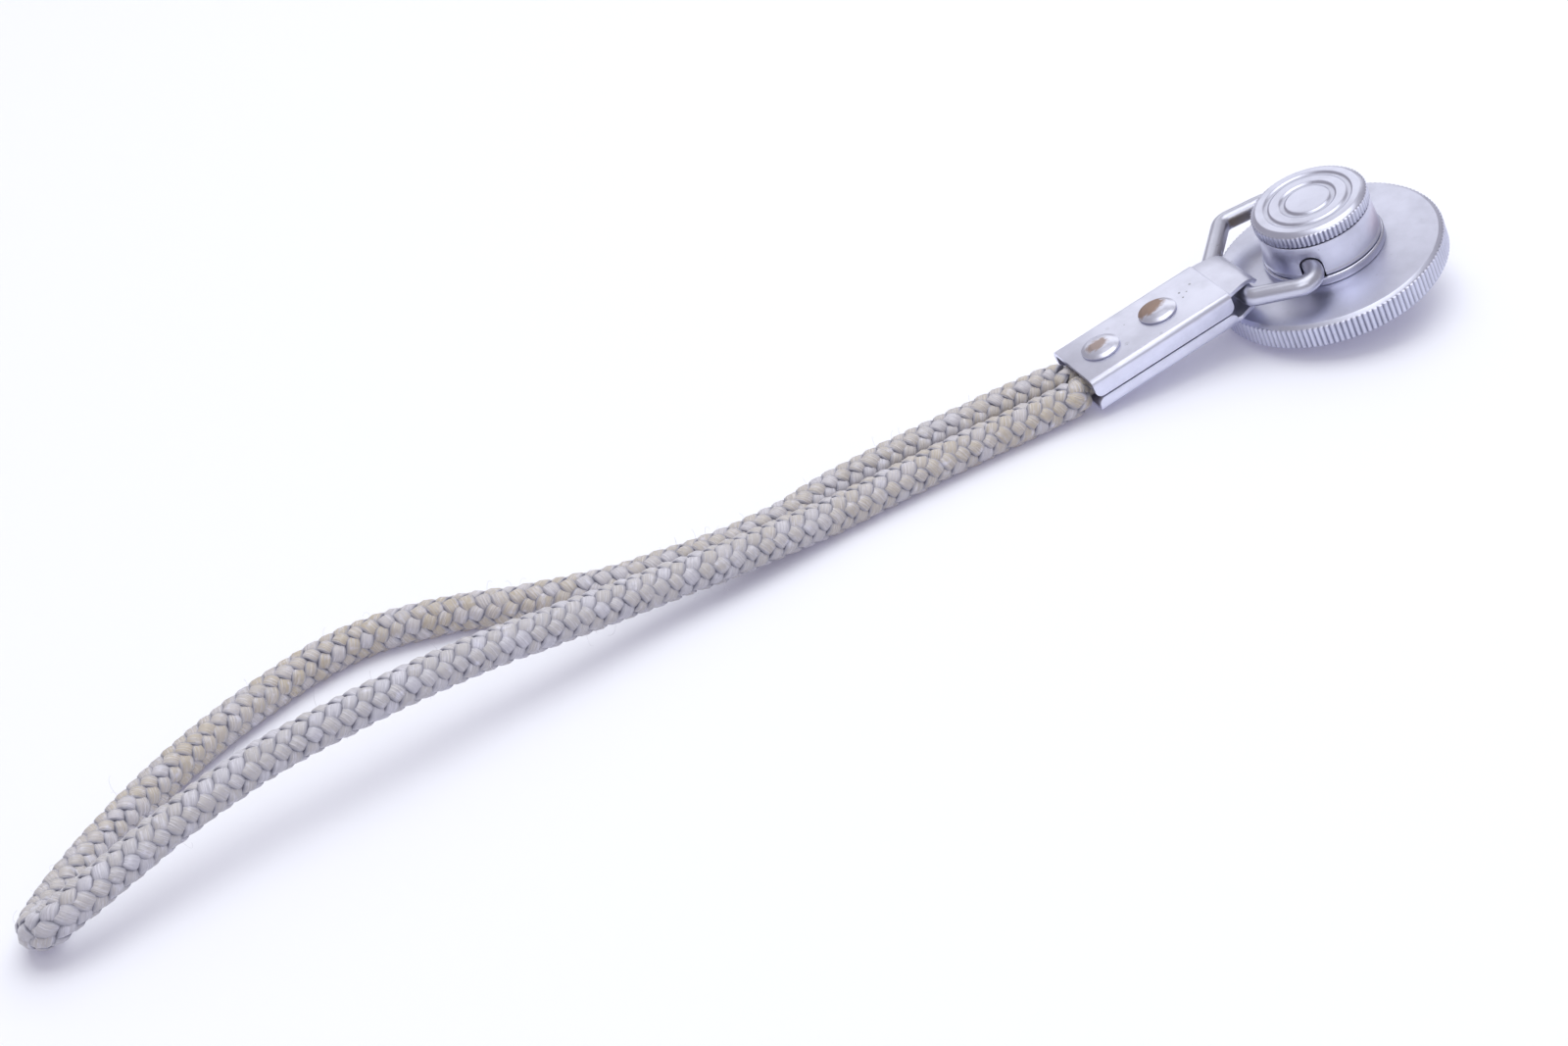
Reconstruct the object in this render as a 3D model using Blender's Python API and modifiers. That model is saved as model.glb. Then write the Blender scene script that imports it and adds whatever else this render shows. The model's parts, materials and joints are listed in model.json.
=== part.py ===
"""Camera wrist strap.

A doubled braided cord in a riveted ferrule, a wire bail, and a tripod screw with a thumb wheel.
The part lies on the floor, Z = 0, with its origin under the middle of the metal head. The strap runs to -X.
The head is modelled in its own frame, with Z along the screw and Z = 0 at the edge of the wheel's top face,
and a parent empty tilts it as it lies, propped on the end of its screw.
"""

import math

import bmesh
import bpy
from mathutils import Matrix, Vector

MM = 0.001
GAP = 0.3 * MM
SAME_PLACE = 0.001 * MM

# Screw and wheel
STUD_RADIUS = 3.175 * MM
STUD_LENGTH = 4.5 * MM
STUD_TIP = 0.45 * MM
WHEEL_RADIUS = 18.0 * MM
WHEEL_THICKNESS = 4.0 * MM
WHEEL_CHAMFER = 0.45 * MM
WHEEL_CROWN = 0.8 * MM
HUB_RADIUS = 4.3 * MM

# Collar that turns on the hub, between a base ring and a cap
COLLAR_RADIUS = 9.1 * MM
COLLAR_HEIGHT = 5.25 * MM
COLLAR_WALL = 1.1 * MM
COLLAR_LID = 1.0 * MM
BASE_RING_LIP = 0.35 * MM
BASE_RING_THICKNESS = 1.1 * MM
BASE_RING_CHAMFER = 0.22 * MM
CAP_OVERHANG = -0.1 * MM
CAP_THICKNESS = 2.35 * MM
CAP_CHAMFER = 0.5 * MM
GROOVE_DEPTH = 0.25 * MM
GROOVE_WIDTH = 0.5 * MM
GROOVE_SHARES = (0.74, 0.44)

# Wire bail between the collar and the ferrule
WIRE_DIAMETER = 2.9 * MM
WIRE_LIFT = 0.7 * MM
BAIL_REACH = 15.6 * MM
BAIL_SWING = math.radians(18.5)
BAIL_ELBOW_REACH = 4.1 * MM
BAIL_ELBOW_BEND = 2.5 * MM
BAIL_SHOULDER_BEND = 1.8 * MM
BAIL_FAR_BEND = 3.5 * MM
BAIL_FAR_SHOULDER = (7.4 * MM, 8.5 * MM)
BAIL_TONGUE_MARGIN = 0.95 * MM
BAIL_SEAT_OFFSET = 3.26 * MM
BAIL_END_INSIDE = 3.2 * MM
NOTCH_CLEARANCE = 0.5 * MM
NOTCH_BELOW = 1.0 * MM

# Ferrule of two channels of sheet metal
SHEET = 0.7 * MM
FERRULE_WIDTH = 12.4 * MM
FERRULE_OFFSET = 0.75 * MM
FERRULE_LENGTH = 24.9 * MM
FERRULE_BEHIND_WIRE = 3.1 * MM
FERRULE_FOLD = 1.0 * MM
FLANGE_CORNER = 1.2 * MM
WIRE_ROOM_ABOVE = 0.6 * MM
WIRE_ROOM_BELOW = 0.8 * MM
SEAM_SHARE = 0.42
# Each row of a tongue: its share of the reach ahead of the channel and of the drop,
# and its half width and sideways shift over the ferrule's width
TONGUE_REACH = 5.5 * MM
TONGUE_DROP = 1.85 * MM
TONGUE_ROWS = (
    {"ahead": 0.21, "drop": 0.00, "half": 0.440, "shift": 0.005},
    {"ahead": 0.49, "drop": 0.07, "half": 0.415, "shift": 0.015},
    {"ahead": 0.75, "drop": 0.27, "half": 0.395, "shift": 0.025},
    {"ahead": 0.90, "drop": 0.58, "half": 0.385, "shift": 0.030},
    {"ahead": 1.00, "drop": 1.00, "half": 0.375, "shift": 0.030},
)
SILL_REACH = 4.8 * MM
SILL_RISE = 0.45 * MM
SILL_ROWS = (
    {"ahead": 0.30, "drop": 0.0, "half": 0.420, "shift": 0.000},
    {"ahead": 1.00, "drop": 1.0, "half": 0.360, "shift": 0.010},
)

# Two rivets through both channels
RIVET_HEAD_RADIUS = 3.0 * MM
RIVET_HEAD_HEIGHT = 0.6 * MM
RIVET_HEAD_RIM = 0.18 * MM
RIVET_SHANK_RADIUS = 1.0 * MM
RIVET_FOOT_RADIUS = 2.4 * MM
RIVET_FOOT_HEIGHT = 0.36 * MM
RIVET_FOOT_CHAMFER = 0.6 * MM
REAR_RIVET_SETBACK = 5.3 * MM
RIVET_SPACING = 10.3 * MM

# Head's tilt as it lies on the end of the screw
HEAD_TILT = math.radians(12.0)

# Braided cord, whose two ends are pinched in the ferrule's mouth
CORD_DIAMETER = 5.7 * MM
CORD_TAIL = 3.6 * MM
CORD_SPREAD = 6.1 * MM
CORD_SWELL = 2.0 * MM
CORD_STEPS = 2

# Route of the cord's middle line in millimetres:
# out along the near strand, round the tip and back along the far strand
CORD_ROUTE = (
    (-38.8, -2.4, 2.95), (-52.8, -3.4, 2.9), (-66.6, -5.1, 2.9), (-74.8, -6.3, 3.1), (-83.2, -7.9, 4.0),
    (-93.1, -9.4, 4.9), (-102.7, -10.4, 5.9), (-112.1, -12.1, 7.3), (-121.1, -13.8, 8.7),
    (-130.0, -15.0, 9.9), (-141.9, -17.4, 11.2), (-153.7, -19.5, 11.6), (-165.5, -21.4, 11.2),
    (-177.6, -24.7, 10.0),
    (-186.8, -27.6, 8.5), (-193.2, -29.3, 7.2), (-197.2, -29.3, 5.7), (-198.9, -26.6, 4.1),
    (-197.6, -22.9, 3.0), (-193.9, -18.4, 2.9), (-186.6, -11.3, 2.9), (-178.6, -4.9, 2.9),
    (-168.4, 1.9, 2.9), (-158.3, 6.8, 2.9), (-150.0, 9.8, 2.9), (-140.6, 10.8, 2.9), (-129.5, 8.0, 2.9),
    (-120.0, 3.4, 2.9), (-107.9, -0.8, 2.9), (-98.9, -2.2, 2.9), (-89.7, -3.0, 2.9), (-79.9, -1.8, 2.9),
    (-72.5, 0.3, 2.9), (-59.5, 2.3, 2.95), (-45.8, 3.6, 3.0), (-38.9, 4.0, 3.1),
)

# Heights in the head's frame
WIRE_RADIUS = WIRE_DIAMETER / 2
RING_BOTTOM = WHEEL_CROWN + GAP
RING_TOP = RING_BOTTOM + BASE_RING_THICKNESS
COLLAR_BOTTOM = RING_TOP + GAP
COLLAR_TOP = COLLAR_BOTTOM + COLLAR_HEIGHT
CAP_BOTTOM = COLLAR_TOP + GAP
CAP_TOP = CAP_BOTTOM + CAP_THICKNESS
WIRE_HEIGHT = RING_TOP + WIRE_LIFT + WIRE_RADIUS
ROOF_INSIDE = WIRE_HEIGHT + WIRE_RADIUS + WIRE_ROOM_ABOVE
FLOOR_INSIDE = WIRE_HEIGHT - WIRE_RADIUS - WIRE_ROOM_BELOW
FERRULE_TOP = ROOF_INSIDE + SHEET
FERRULE_BOTTOM = FLOOR_INSIDE - SHEET
SEAM_HEIGHT = FERRULE_BOTTOM + SEAM_SHARE * (FERRULE_TOP - FERRULE_BOTTOM)

# Places along the head's X axis, which runs from the strap to the knob
FERRULE_FRONT = -BAIL_REACH - FERRULE_BEHIND_WIRE
FERRULE_REAR = FERRULE_FRONT - FERRULE_LENGTH
REAR_RIVET_X = FERRULE_REAR + REAR_RIVET_SETBACK
FRONT_RIVET_X = REAR_RIVET_X + RIVET_SPACING

# Where the head stands: the lower of the screw's edge and the wheel's edge meets the floor
TIP_RADIUS = STUD_RADIUS - STUD_TIP
STUD_DEPTH = (WHEEL_THICKNESS + STUD_LENGTH) * math.cos(HEAD_TILT) + TIP_RADIUS * math.sin(HEAD_TILT)
WHEEL_DEPTH = WHEEL_THICKNESS * math.cos(HEAD_TILT) + WHEEL_RADIUS * math.sin(HEAD_TILT)
HEAD_HEIGHT = max(STUD_DEPTH, WHEEL_DEPTH)
HEAD_FRONT = WHEEL_RADIUS * math.cos(HEAD_TILT) + (WHEEL_THICKNESS - WHEEL_CHAMFER) * math.sin(HEAD_TILT)
HEAD_REAR = FERRULE_REAR * math.cos(HEAD_TILT) - FERRULE_TOP * math.sin(HEAD_TILT)
HEAD_X = -(HEAD_FRONT + HEAD_REAR) / 2

# Directions of the bail in plan: forward to the knob, and across to the far side
BAIL_FORWARD = Vector((math.cos(BAIL_SWING), -math.sin(BAIL_SWING), 0))
BAIL_ACROSS = Vector((math.sin(BAIL_SWING), math.cos(BAIL_SWING), 0))

COLOURS = {
    "chrome": (0.62, 0.62, 0.66, 0.28, 1.0),
    "nickel": (0.66, 0.66, 0.69, 0.34, 1.0),
    "rivet": (0.55, 0.44, 0.38, 0.4, 1.0),
    "cord": (0.46, 0.43, 0.40, 0.85, 0.0),
}


def clear_scene():
    for thing in list(bpy.data.objects):
        bpy.data.objects.remove(thing, do_unlink=True)


def make_collection(name):
    group = bpy.data.collections.new(name)
    bpy.context.scene.collection.children.link(group)
    return group


def make_material(name, finish):
    red, green, blue, roughness, metallic = COLOURS[finish]
    material = bpy.data.materials.new(name)
    material.use_nodes = True
    shader = material.node_tree.nodes["Principled BSDF"]
    shader.inputs["Base Color"].default_value = (red, green, blue, 1.0)
    shader.inputs["Roughness"].default_value = roughness
    shader.inputs["Metallic"].default_value = metallic
    return material


def add_empty(name, group, parent=None, location=(0, 0, 0)):
    empty = bpy.data.objects.new(name, None)
    empty.empty_display_size = 0.005
    empty.location = location
    empty.parent = parent
    group.objects.link(empty)
    return empty


def add_piece(name, data, group, parent, finish, origin=(0, 0, 0)):
    """Adds a piece whose data is in the head's frame about origin, which the parent's place is taken from."""
    piece = bpy.data.objects.new(name, data)
    piece.parent = parent
    piece.location = Vector(origin) - head_place(parent)
    piece.data.materials.append(make_material(name, finish))
    group.objects.link(piece)
    return piece


def head_place(empty):
    """Place of an empty in the head's frame, down its chain of parents to the head's own empty."""
    place = Vector((0, 0, 0))
    while empty is not None and empty.parent is not None:
        place += empty.location
        empty = empty.parent
    return place


def turned(name, profile, steps, group, parent, finish, origin=(0, 0, 0), closed=True):
    """A solid turned about Z from a profile of (radius, height), which runs down its outer side."""
    mesh = bpy.data.meshes.new(name)
    count = len(profile)
    edges = [(index, index + 1) for index in range(count - 1)]
    if closed:
        edges.append((count - 1, 0))
    mesh.from_pydata([(radius, 0, height) for radius, height in profile], edges, [])
    piece = add_piece(name, mesh, group, parent, finish, origin)
    screw = piece.modifiers.new("Turn", "SCREW")
    screw.axis = "Z"
    screw.angle = math.tau
    screw.steps = steps
    screw.render_steps = steps
    screw.use_merge_vertices = True
    screw.merge_threshold = 10 * SAME_PLACE
    screw.use_smooth_shade = False
    return piece


def make_cutter(name, bm, group, parent, origin=(0, 0, 0)):
    mesh = bpy.data.meshes.new(name)
    bmesh.ops.recalc_face_normals(bm, faces=bm.faces)
    bm.to_mesh(mesh)
    bm.free()
    cutter = bpy.data.objects.new(name, mesh)
    cutter.parent = parent
    cutter.location = Vector(origin) - head_place(parent)
    cutter.hide_render = True
    cutter.display_type = "WIRE"
    group.objects.link(cutter)
    return cutter


def cut(piece, cutter):
    boolean = piece.modifiers.new("Cut " + cutter.name, "BOOLEAN")
    boolean.operation = "DIFFERENCE"
    boolean.object = cutter
    boolean.solver = "EXACT"


def bent_wire(corners, bends, arc_steps):
    """Middle line of a wire through corners, each rounded to the bend radius given for it."""
    points = [Vector(corners[0])]
    for index in range(1, len(corners) - 1):
        corner = Vector(corners[index])
        back = (Vector(corners[index - 1]) - corner).normalized()
        ahead = (Vector(corners[index + 1]) - corner).normalized()
        half_turn = (math.pi - back.angle(ahead)) / 2
        tangent = bends[index - 1] * math.tan(half_turn)
        middle = (back + ahead).normalized()
        centre = corner + middle * (bends[index - 1] / math.cos(half_turn))
        first = corner + back * tangent - centre
        axis = first.cross(corner + ahead * tangent - centre).normalized()
        for step in range(arc_steps + 1):
            turn = Matrix.Rotation(2 * half_turn * step / arc_steps, 3, axis)
            points.append(centre + turn @ first)
    points.append(Vector(corners[-1]))
    return points


def smooth_route(points, steps):
    """Points on a smooth curve through the given ones, with the same number of steps between each two."""
    route = []
    ends = [2 * points[0] - points[1]] + list(points) + [2 * points[-1] - points[-2]]
    for index in range(1, len(ends) - 2):
        before, start, stop, after = ends[index - 1:index + 3]
        for step in range(steps):
            share = step / steps
            route.append(0.5 * (2 * start + (stop - before) * share
                                + (2 * before - 5 * start + 4 * stop - after) * share ** 2
                                + (3 * start - before - 3 * stop + after) * share ** 3))
    route.append(points[-1].copy())
    return route


def tube_curve(name, points, radii, resolution):
    """A round tube as a poly curve, with a radius for each point."""
    curve = bpy.data.curves.new(name, "CURVE")
    curve.dimensions = "3D"
    curve.bevel_depth = max(radii)
    curve.bevel_resolution = resolution
    curve.use_fill_caps = True
    curve.render_resolution_u = 0
    spline = curve.splines.new("POLY")
    spline.points.add(len(points) - 1)
    for point, place, radius in zip(spline.points, points, radii):
        point.co = (*place, 1.0)
        point.radius = radius / max(radii)
    return curve


def make_wheel(group, knob):
    bore = STUD_RADIUS + GAP
    rim = WHEEL_RADIUS
    profile = [
        (bore, WHEEL_CROWN),
        (COLLAR_RADIUS + BASE_RING_LIP, WHEEL_CROWN),
        (rim - WHEEL_CHAMFER, 0),
        (rim, -WHEEL_CHAMFER),
        (rim, -WHEEL_THICKNESS + WHEEL_CHAMFER),
        (rim - WHEEL_CHAMFER, -WHEEL_THICKNESS),
        (bore, -WHEEL_THICKNESS),
    ]
    return turned("wheel", profile, 96, group, knob, "chrome")


def make_base_ring(group, knob):
    inner = HUB_RADIUS + GAP
    outer = COLLAR_RADIUS + BASE_RING_LIP
    profile = [
        (inner, RING_TOP),
        (outer - BASE_RING_CHAMFER, RING_TOP),
        (outer, RING_TOP - BASE_RING_CHAMFER),
        (outer, RING_BOTTOM),
        (inner, RING_BOTTOM),
    ]
    return turned("base_ring", profile, 64, group, knob, "chrome")


def make_screw(group, knob):
    """Hub and tripod screw in one: the hub carries the cap, and the stud runs down through the wheel."""
    bottom = -WHEEL_THICKNESS - STUD_LENGTH
    profile = [
        (0, COLLAR_TOP),
        (HUB_RADIUS, COLLAR_TOP),
        (HUB_RADIUS, WHEEL_CROWN + GAP),
        (STUD_RADIUS, WHEEL_CROWN + GAP),
        (STUD_RADIUS, bottom + STUD_TIP),
        (TIP_RADIUS, bottom),
        (0, bottom),
    ]
    return turned("screw_stud", profile, 32, group, knob, "chrome", closed=False)


def make_cap(group, knob):
    radius = COLLAR_RADIUS + CAP_OVERHANG
    profile = [(0, CAP_TOP)]
    for share in reversed(GROOVE_SHARES):
        middle = share * radius
        profile.append((middle - GROOVE_WIDTH / 2, CAP_TOP))
        profile.append((middle, CAP_TOP - GROOVE_DEPTH))
        profile.append((middle + GROOVE_WIDTH / 2, CAP_TOP))
    profile += [
        (radius - CAP_CHAMFER, CAP_TOP),
        (radius, CAP_TOP - CAP_CHAMFER),
        (radius, CAP_BOTTOM),
        (0, CAP_BOTTOM),
    ]
    return turned("cap", profile, 64, group, knob, "chrome", closed=False)


def make_collar(group, cutters, pivot):
    """Upside-down cup round the hub, with a mouse-hole notch on each side for an end of the bail."""
    inner = COLLAR_RADIUS - COLLAR_WALL
    bore = HUB_RADIUS + GAP
    under_lid = COLLAR_TOP - COLLAR_LID
    profile = [
        (bore, COLLAR_TOP),
        (COLLAR_RADIUS, COLLAR_TOP),
        (COLLAR_RADIUS, COLLAR_BOTTOM),
        (inner, COLLAR_BOTTOM),
        (inner, under_lid),
        (bore, under_lid),
    ]
    collar = turned("collar", profile, 64, group, pivot, "chrome")
    bm = bmesh.new()
    radius = WIRE_RADIUS + NOTCH_CLEARANCE
    along = Matrix.Rotation(math.pi / 2, 4, "X")
    swing = Matrix.Rotation(-BAIL_SWING, 4, "Z")
    bmesh.ops.create_cone(bm, cap_ends=True, segments=24, radius1=radius, radius2=radius,
                          depth=3 * COLLAR_RADIUS, matrix=swing @ along)
    geometry = bm.verts[:] + bm.edges[:] + bm.faces[:]
    bmesh.ops.bisect_plane(bm, geom=geometry, dist=SAME_PLACE, plane_co=(0, 0, 0), plane_no=(0, 0, -1),
                           clear_outer=True)
    open_edges = [edge for edge in bm.edges if edge.is_boundary]
    floor = bmesh.ops.contextual_create(bm, geom=open_edges)["faces"]
    raised = bmesh.ops.extrude_face_region(bm, geom=floor)["geom"]
    bmesh.ops.delete(bm, geom=floor, context="FACES_ONLY")
    lowered = [item for item in raised if isinstance(item, bmesh.types.BMVert)]
    bmesh.ops.translate(bm, verts=lowered, vec=(0, 0, COLLAR_BOTTOM - WIRE_HEIGHT - NOTCH_BELOW))
    cutter = make_cutter("notch_cutter", bm, cutters, pivot, seat_place())
    cut(collar, cutter)
    return collar


def seat_place():
    """Middle of the line through the collar's two notches, on which the bail's ends lie."""
    return -BAIL_FORWARD * BAIL_SEAT_OFFSET + Vector((0, 0, WIRE_HEIGHT))


def notch_span():
    """Distance from the middle of that line to the collar's outer face."""
    return math.sqrt(COLLAR_RADIUS ** 2 - BAIL_SEAT_OFFSET ** 2)


def tongue_edge(side):
    """Place across of the tongue's near (-1) or far (+1) edge, where it passes over the wire."""
    over_wire = TONGUE_ROWS[1]
    return FERRULE_OFFSET + FERRULE_WIDTH * (over_wire["shift"] + side * over_wire["half"])


def make_bail(group, pivot, pivot_place):
    """Bent wire: ends in the collar, elbows beside it, and a straight base under the ferrule's tongue."""
    seat = seat_place()
    elbow = COLLAR_RADIUS + BAIL_ELBOW_REACH
    inside = notch_span() - BAIL_END_INSIDE
    base = Vector((-BAIL_REACH, 0, WIRE_HEIGHT))
    near_base = base + Vector((0, tongue_edge(-1) - BAIL_TONGUE_MARGIN, 0))
    far_base = base + Vector((0, tongue_edge(1) + BAIL_TONGUE_MARGIN, 0))
    far_shoulder = far_base + Vector((*BAIL_FAR_SHOULDER, 0))
    corners = [
        seat - BAIL_ACROSS * inside,
        seat - BAIL_ACROSS * elbow,
        near_base,
        far_base,
        far_shoulder,
        seat + BAIL_ACROSS * elbow,
        seat + BAIL_ACROSS * inside,
    ]
    bends = [BAIL_ELBOW_BEND, BAIL_SHOULDER_BEND, BAIL_SHOULDER_BEND, BAIL_FAR_BEND, BAIL_ELBOW_BEND]
    points = [point - pivot_place for point in bent_wire(corners, bends, 6)]
    curve = tube_curve("bail", points, [WIRE_RADIUS] * len(points), 3)
    return add_piece("bail", curve, group, pivot, "nickel", pivot_place)


def channel(name, side, rows, reach, drop, group, head):
    """One half of the ferrule, a folded channel with a tongue in front: side +1 is upper and -1 lower."""
    outside = FERRULE_TOP if side > 0 else FERRULE_BOTTOM
    edge_height = SEAM_HEIGHT + side * GAP / 2
    middle = Vector(((FERRULE_REAR + FERRULE_FRONT) / 2, FERRULE_OFFSET, (outside + edge_height) / 2))
    size = Matrix.Diagonal((FERRULE_LENGTH, FERRULE_WIDTH, abs(outside - edge_height), 1))
    bm = bmesh.new()
    bmesh.ops.create_cube(bm, size=1.0, matrix=Matrix.Translation(middle) @ size)
    bm.normal_update()
    gone = [face for face in bm.faces if abs(face.normal.x) > 0.5 or face.normal.z * side < -0.5]
    bmesh.ops.delete(bm, geom=gone, context="FACES")
    corners = [vert for vert in bm.verts if abs(vert.co.z - edge_height) < SAME_PLACE]
    bmesh.ops.bevel(bm, geom=corners, offset=FLANGE_CORNER, offset_type="OFFSET", segments=3, profile=0.5,
                    affect="VERTICES", material=-1)
    folds = [edge for edge in bm.edges
             if all(abs(vert.co.z - outside) < SAME_PLACE for vert in edge.verts)
             and abs(edge.verts[0].co.y - edge.verts[1].co.y) < SAME_PLACE]
    bmesh.ops.bevel(bm, geom=folds, offset=FERRULE_FOLD, offset_type="OFFSET", segments=3, profile=0.5,
                    affect="EDGES", material=-1)
    front = [edge for edge in bm.edges
             if all(abs(vert.co.x - FERRULE_FRONT) < SAME_PLACE and abs(vert.co.z - outside) < SAME_PLACE
                    for vert in edge.verts)]
    for row in rows:
        made = bmesh.ops.extrude_edge_only(bm, edges=front)["geom"]
        front = [item for item in made if isinstance(item, bmesh.types.BMEdge)]
        for vert in {vert for edge in front for vert in edge.verts}:
            hand = 1 if vert.co.y > FERRULE_OFFSET else -1
            vert.co.x = FERRULE_FRONT + reach * row["ahead"]
            vert.co.y = FERRULE_OFFSET + FERRULE_WIDTH * (row["shift"] + hand * row["half"])
            vert.co.z = outside - side * drop * row["drop"]
    mesh = bpy.data.meshes.new(name)
    bm.to_mesh(mesh)
    bm.free()
    piece = add_piece(name, mesh, group, head, "nickel")
    wall = piece.modifiers.new("Sheet", "SOLIDIFY")
    wall.thickness = SHEET
    wall.offset = -1
    wall.use_even_offset = True
    return piece


def make_rivet(name, along, group, head, channels, cutters):
    """Domed head above and below, and a shank through both channels."""
    steps = 24
    dome_steps = 4
    top = FERRULE_TOP + GAP
    bottom = FERRULE_BOTTOM - GAP
    dome_height = RIVET_HEAD_HEIGHT - RIVET_HEAD_RIM
    profile = []
    for step in range(dome_steps + 1):
        angle = 0.5 * math.pi * step / dome_steps
        height = top + RIVET_HEAD_RIM + dome_height * math.cos(angle)
        profile.append((RIVET_HEAD_RADIUS * math.sin(angle), height))
    profile += [
        (RIVET_HEAD_RADIUS, top),
        (RIVET_SHANK_RADIUS, top),
        (RIVET_SHANK_RADIUS, bottom),
        (RIVET_FOOT_RADIUS, bottom),
        (RIVET_FOOT_RADIUS - RIVET_FOOT_CHAMFER, bottom - RIVET_FOOT_HEIGHT),
        (0, bottom - RIVET_FOOT_HEIGHT),
    ]
    place = (along, FERRULE_OFFSET, 0)
    rivet = turned(name, profile, steps, group, head, "rivet", place, closed=False)
    bm = bmesh.new()
    hole = RIVET_SHANK_RADIUS + GAP
    middle = Matrix.Translation((0, 0, (FERRULE_TOP + FERRULE_BOTTOM) / 2))
    bmesh.ops.create_cone(bm, cap_ends=True, segments=steps, radius1=hole, radius2=hole,
                          depth=2 * (FERRULE_TOP - FERRULE_BOTTOM), matrix=middle)
    cutter = make_cutter(name + "_hole", bm, cutters, head, place)
    for piece in channels:
        cut(piece, cutter)
    return rivet


def make_cord(group):
    """One length of cord, doubled, with both ends pinched flat between the channels of the ferrule."""
    inside_height = ROOF_INSIDE - FLOOR_INSIDE
    inside_width = FERRULE_WIDTH - 2 * SHEET
    tail_radius = min(inside_height / 2 - GAP, (inside_width - 3 * GAP) / 4)
    radius = CORD_DIAMETER / 2
    height = (ROOF_INSIDE + FLOOR_INSIDE) / 2
    mouth_gap = 2 * GAP
    to_floor = Matrix.Translation((HEAD_X, 0, HEAD_HEIGHT)) @ Matrix.Rotation(-HEAD_TILT, 4, "Y")

    def tail(hand):
        inner = FERRULE_OFFSET + hand * (tail_radius + GAP / 2)
        outer = FERRULE_OFFSET + hand * CORD_SPREAD / 2
        return [
            (to_floor @ Vector((FERRULE_REAR + CORD_TAIL, inner, height)), tail_radius),
            (to_floor @ Vector((FERRULE_REAR - mouth_gap, inner, height)), tail_radius),
            (to_floor @ Vector((FERRULE_REAR - mouth_gap - CORD_SWELL, outer, height)), radius),
        ]

    near_tail = tail(-1)
    far_tail = tail(1)
    far_tail.reverse()
    chosen = [Vector(point) * MM for point in CORD_ROUTE]
    route = smooth_route([near_tail[-1][0]] + chosen + [far_tail[0][0]], CORD_STEPS)
    points = [place for place, size in near_tail[:-1]] + route + [place for place, size in far_tail[1:]]
    radii = [size for place, size in near_tail[:-1]] + [radius] * len(route)
    radii += [size for place, size in far_tail[1:]]
    curve = tube_curve("cord_loop", points, radii, 4)
    return add_piece("cord_loop", curve, group, None, "cord")


def main():
    clear_scene()
    group = make_collection("camera_wrist_strap")
    cutters = make_collection("cutters")

    head = add_empty("head", group, location=(HEAD_X, 0, HEAD_HEIGHT))
    head.rotation_euler = (0, -HEAD_TILT, 0)
    base_place = Vector((-BAIL_REACH, FERRULE_OFFSET, WIRE_HEIGHT))
    bail_pivot = add_empty("bail_pivot", group, head, base_place)
    collar_pivot = add_empty("collar_pivot", group, bail_pivot, seat_place() - base_place)
    knob_axis = add_empty("knob_axis", group, collar_pivot, -seat_place())

    upper = channel("ferrule_upper", 1, TONGUE_ROWS, TONGUE_REACH, TONGUE_DROP, group, head)
    lower = channel("ferrule_lower", -1, SILL_ROWS, SILL_REACH, SILL_RISE, group, head)
    make_rivet("rivet_rear", REAR_RIVET_X, group, head, (upper, lower), cutters)
    make_rivet("rivet_front", FRONT_RIVET_X, group, head, (upper, lower), cutters)
    make_cord(group)

    make_bail(group, bail_pivot, base_place)
    make_collar(group, cutters, collar_pivot)

    make_wheel(group, knob_axis)
    make_base_ring(group, knob_axis)
    make_screw(group, knob_axis)
    make_cap(group, knob_axis)


main()
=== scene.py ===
"""Looks of the camera wrist strap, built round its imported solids.

The strap is a doubled braided cord in a riveted ferrule, a wire bail and a tripod screw with a thumb wheel.
The file is laid out as an add-on: each operator makes one piece or one group of like pieces.
Metal pieces are modelled in the head's own frame, with Z along the screw, and then put where the head lies.
"""

import json
import math

import bmesh
import bpy
import numpy as np
from bpy.props import FloatProperty, FloatVectorProperty, IntProperty, PointerProperty
from mathutils import Matrix, Vector

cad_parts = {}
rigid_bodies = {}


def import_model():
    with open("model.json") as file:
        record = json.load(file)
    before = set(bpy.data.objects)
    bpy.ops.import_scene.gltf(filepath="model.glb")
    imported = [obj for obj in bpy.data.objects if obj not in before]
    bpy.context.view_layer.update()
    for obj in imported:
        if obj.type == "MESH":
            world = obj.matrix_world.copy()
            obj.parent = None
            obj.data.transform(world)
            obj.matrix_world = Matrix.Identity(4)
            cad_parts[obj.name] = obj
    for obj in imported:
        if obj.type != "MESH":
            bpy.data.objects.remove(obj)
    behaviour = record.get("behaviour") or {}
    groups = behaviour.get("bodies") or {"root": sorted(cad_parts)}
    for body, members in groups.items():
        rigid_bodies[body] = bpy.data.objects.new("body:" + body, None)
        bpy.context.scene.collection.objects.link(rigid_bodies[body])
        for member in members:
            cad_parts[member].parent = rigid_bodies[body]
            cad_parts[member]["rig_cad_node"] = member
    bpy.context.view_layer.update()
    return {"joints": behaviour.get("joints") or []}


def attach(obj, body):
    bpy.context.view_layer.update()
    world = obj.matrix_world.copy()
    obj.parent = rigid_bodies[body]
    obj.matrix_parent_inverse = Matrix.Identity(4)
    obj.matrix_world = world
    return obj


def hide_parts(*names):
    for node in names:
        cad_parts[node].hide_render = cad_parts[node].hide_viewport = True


bl_info = {
    "name": "Camera wrist strap",
    "version": (1, 0, 0),
    "blender": (4, 5, 0),
    "location": "View3D > Sidebar > Wrist strap",
    "description": "Braided cord, ferrule, bail and thumb screw of a camera wrist strap",
    "category": "Object",
}

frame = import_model()

MM = 0.001
SAME_PLACE = 0.001 * MM

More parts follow.
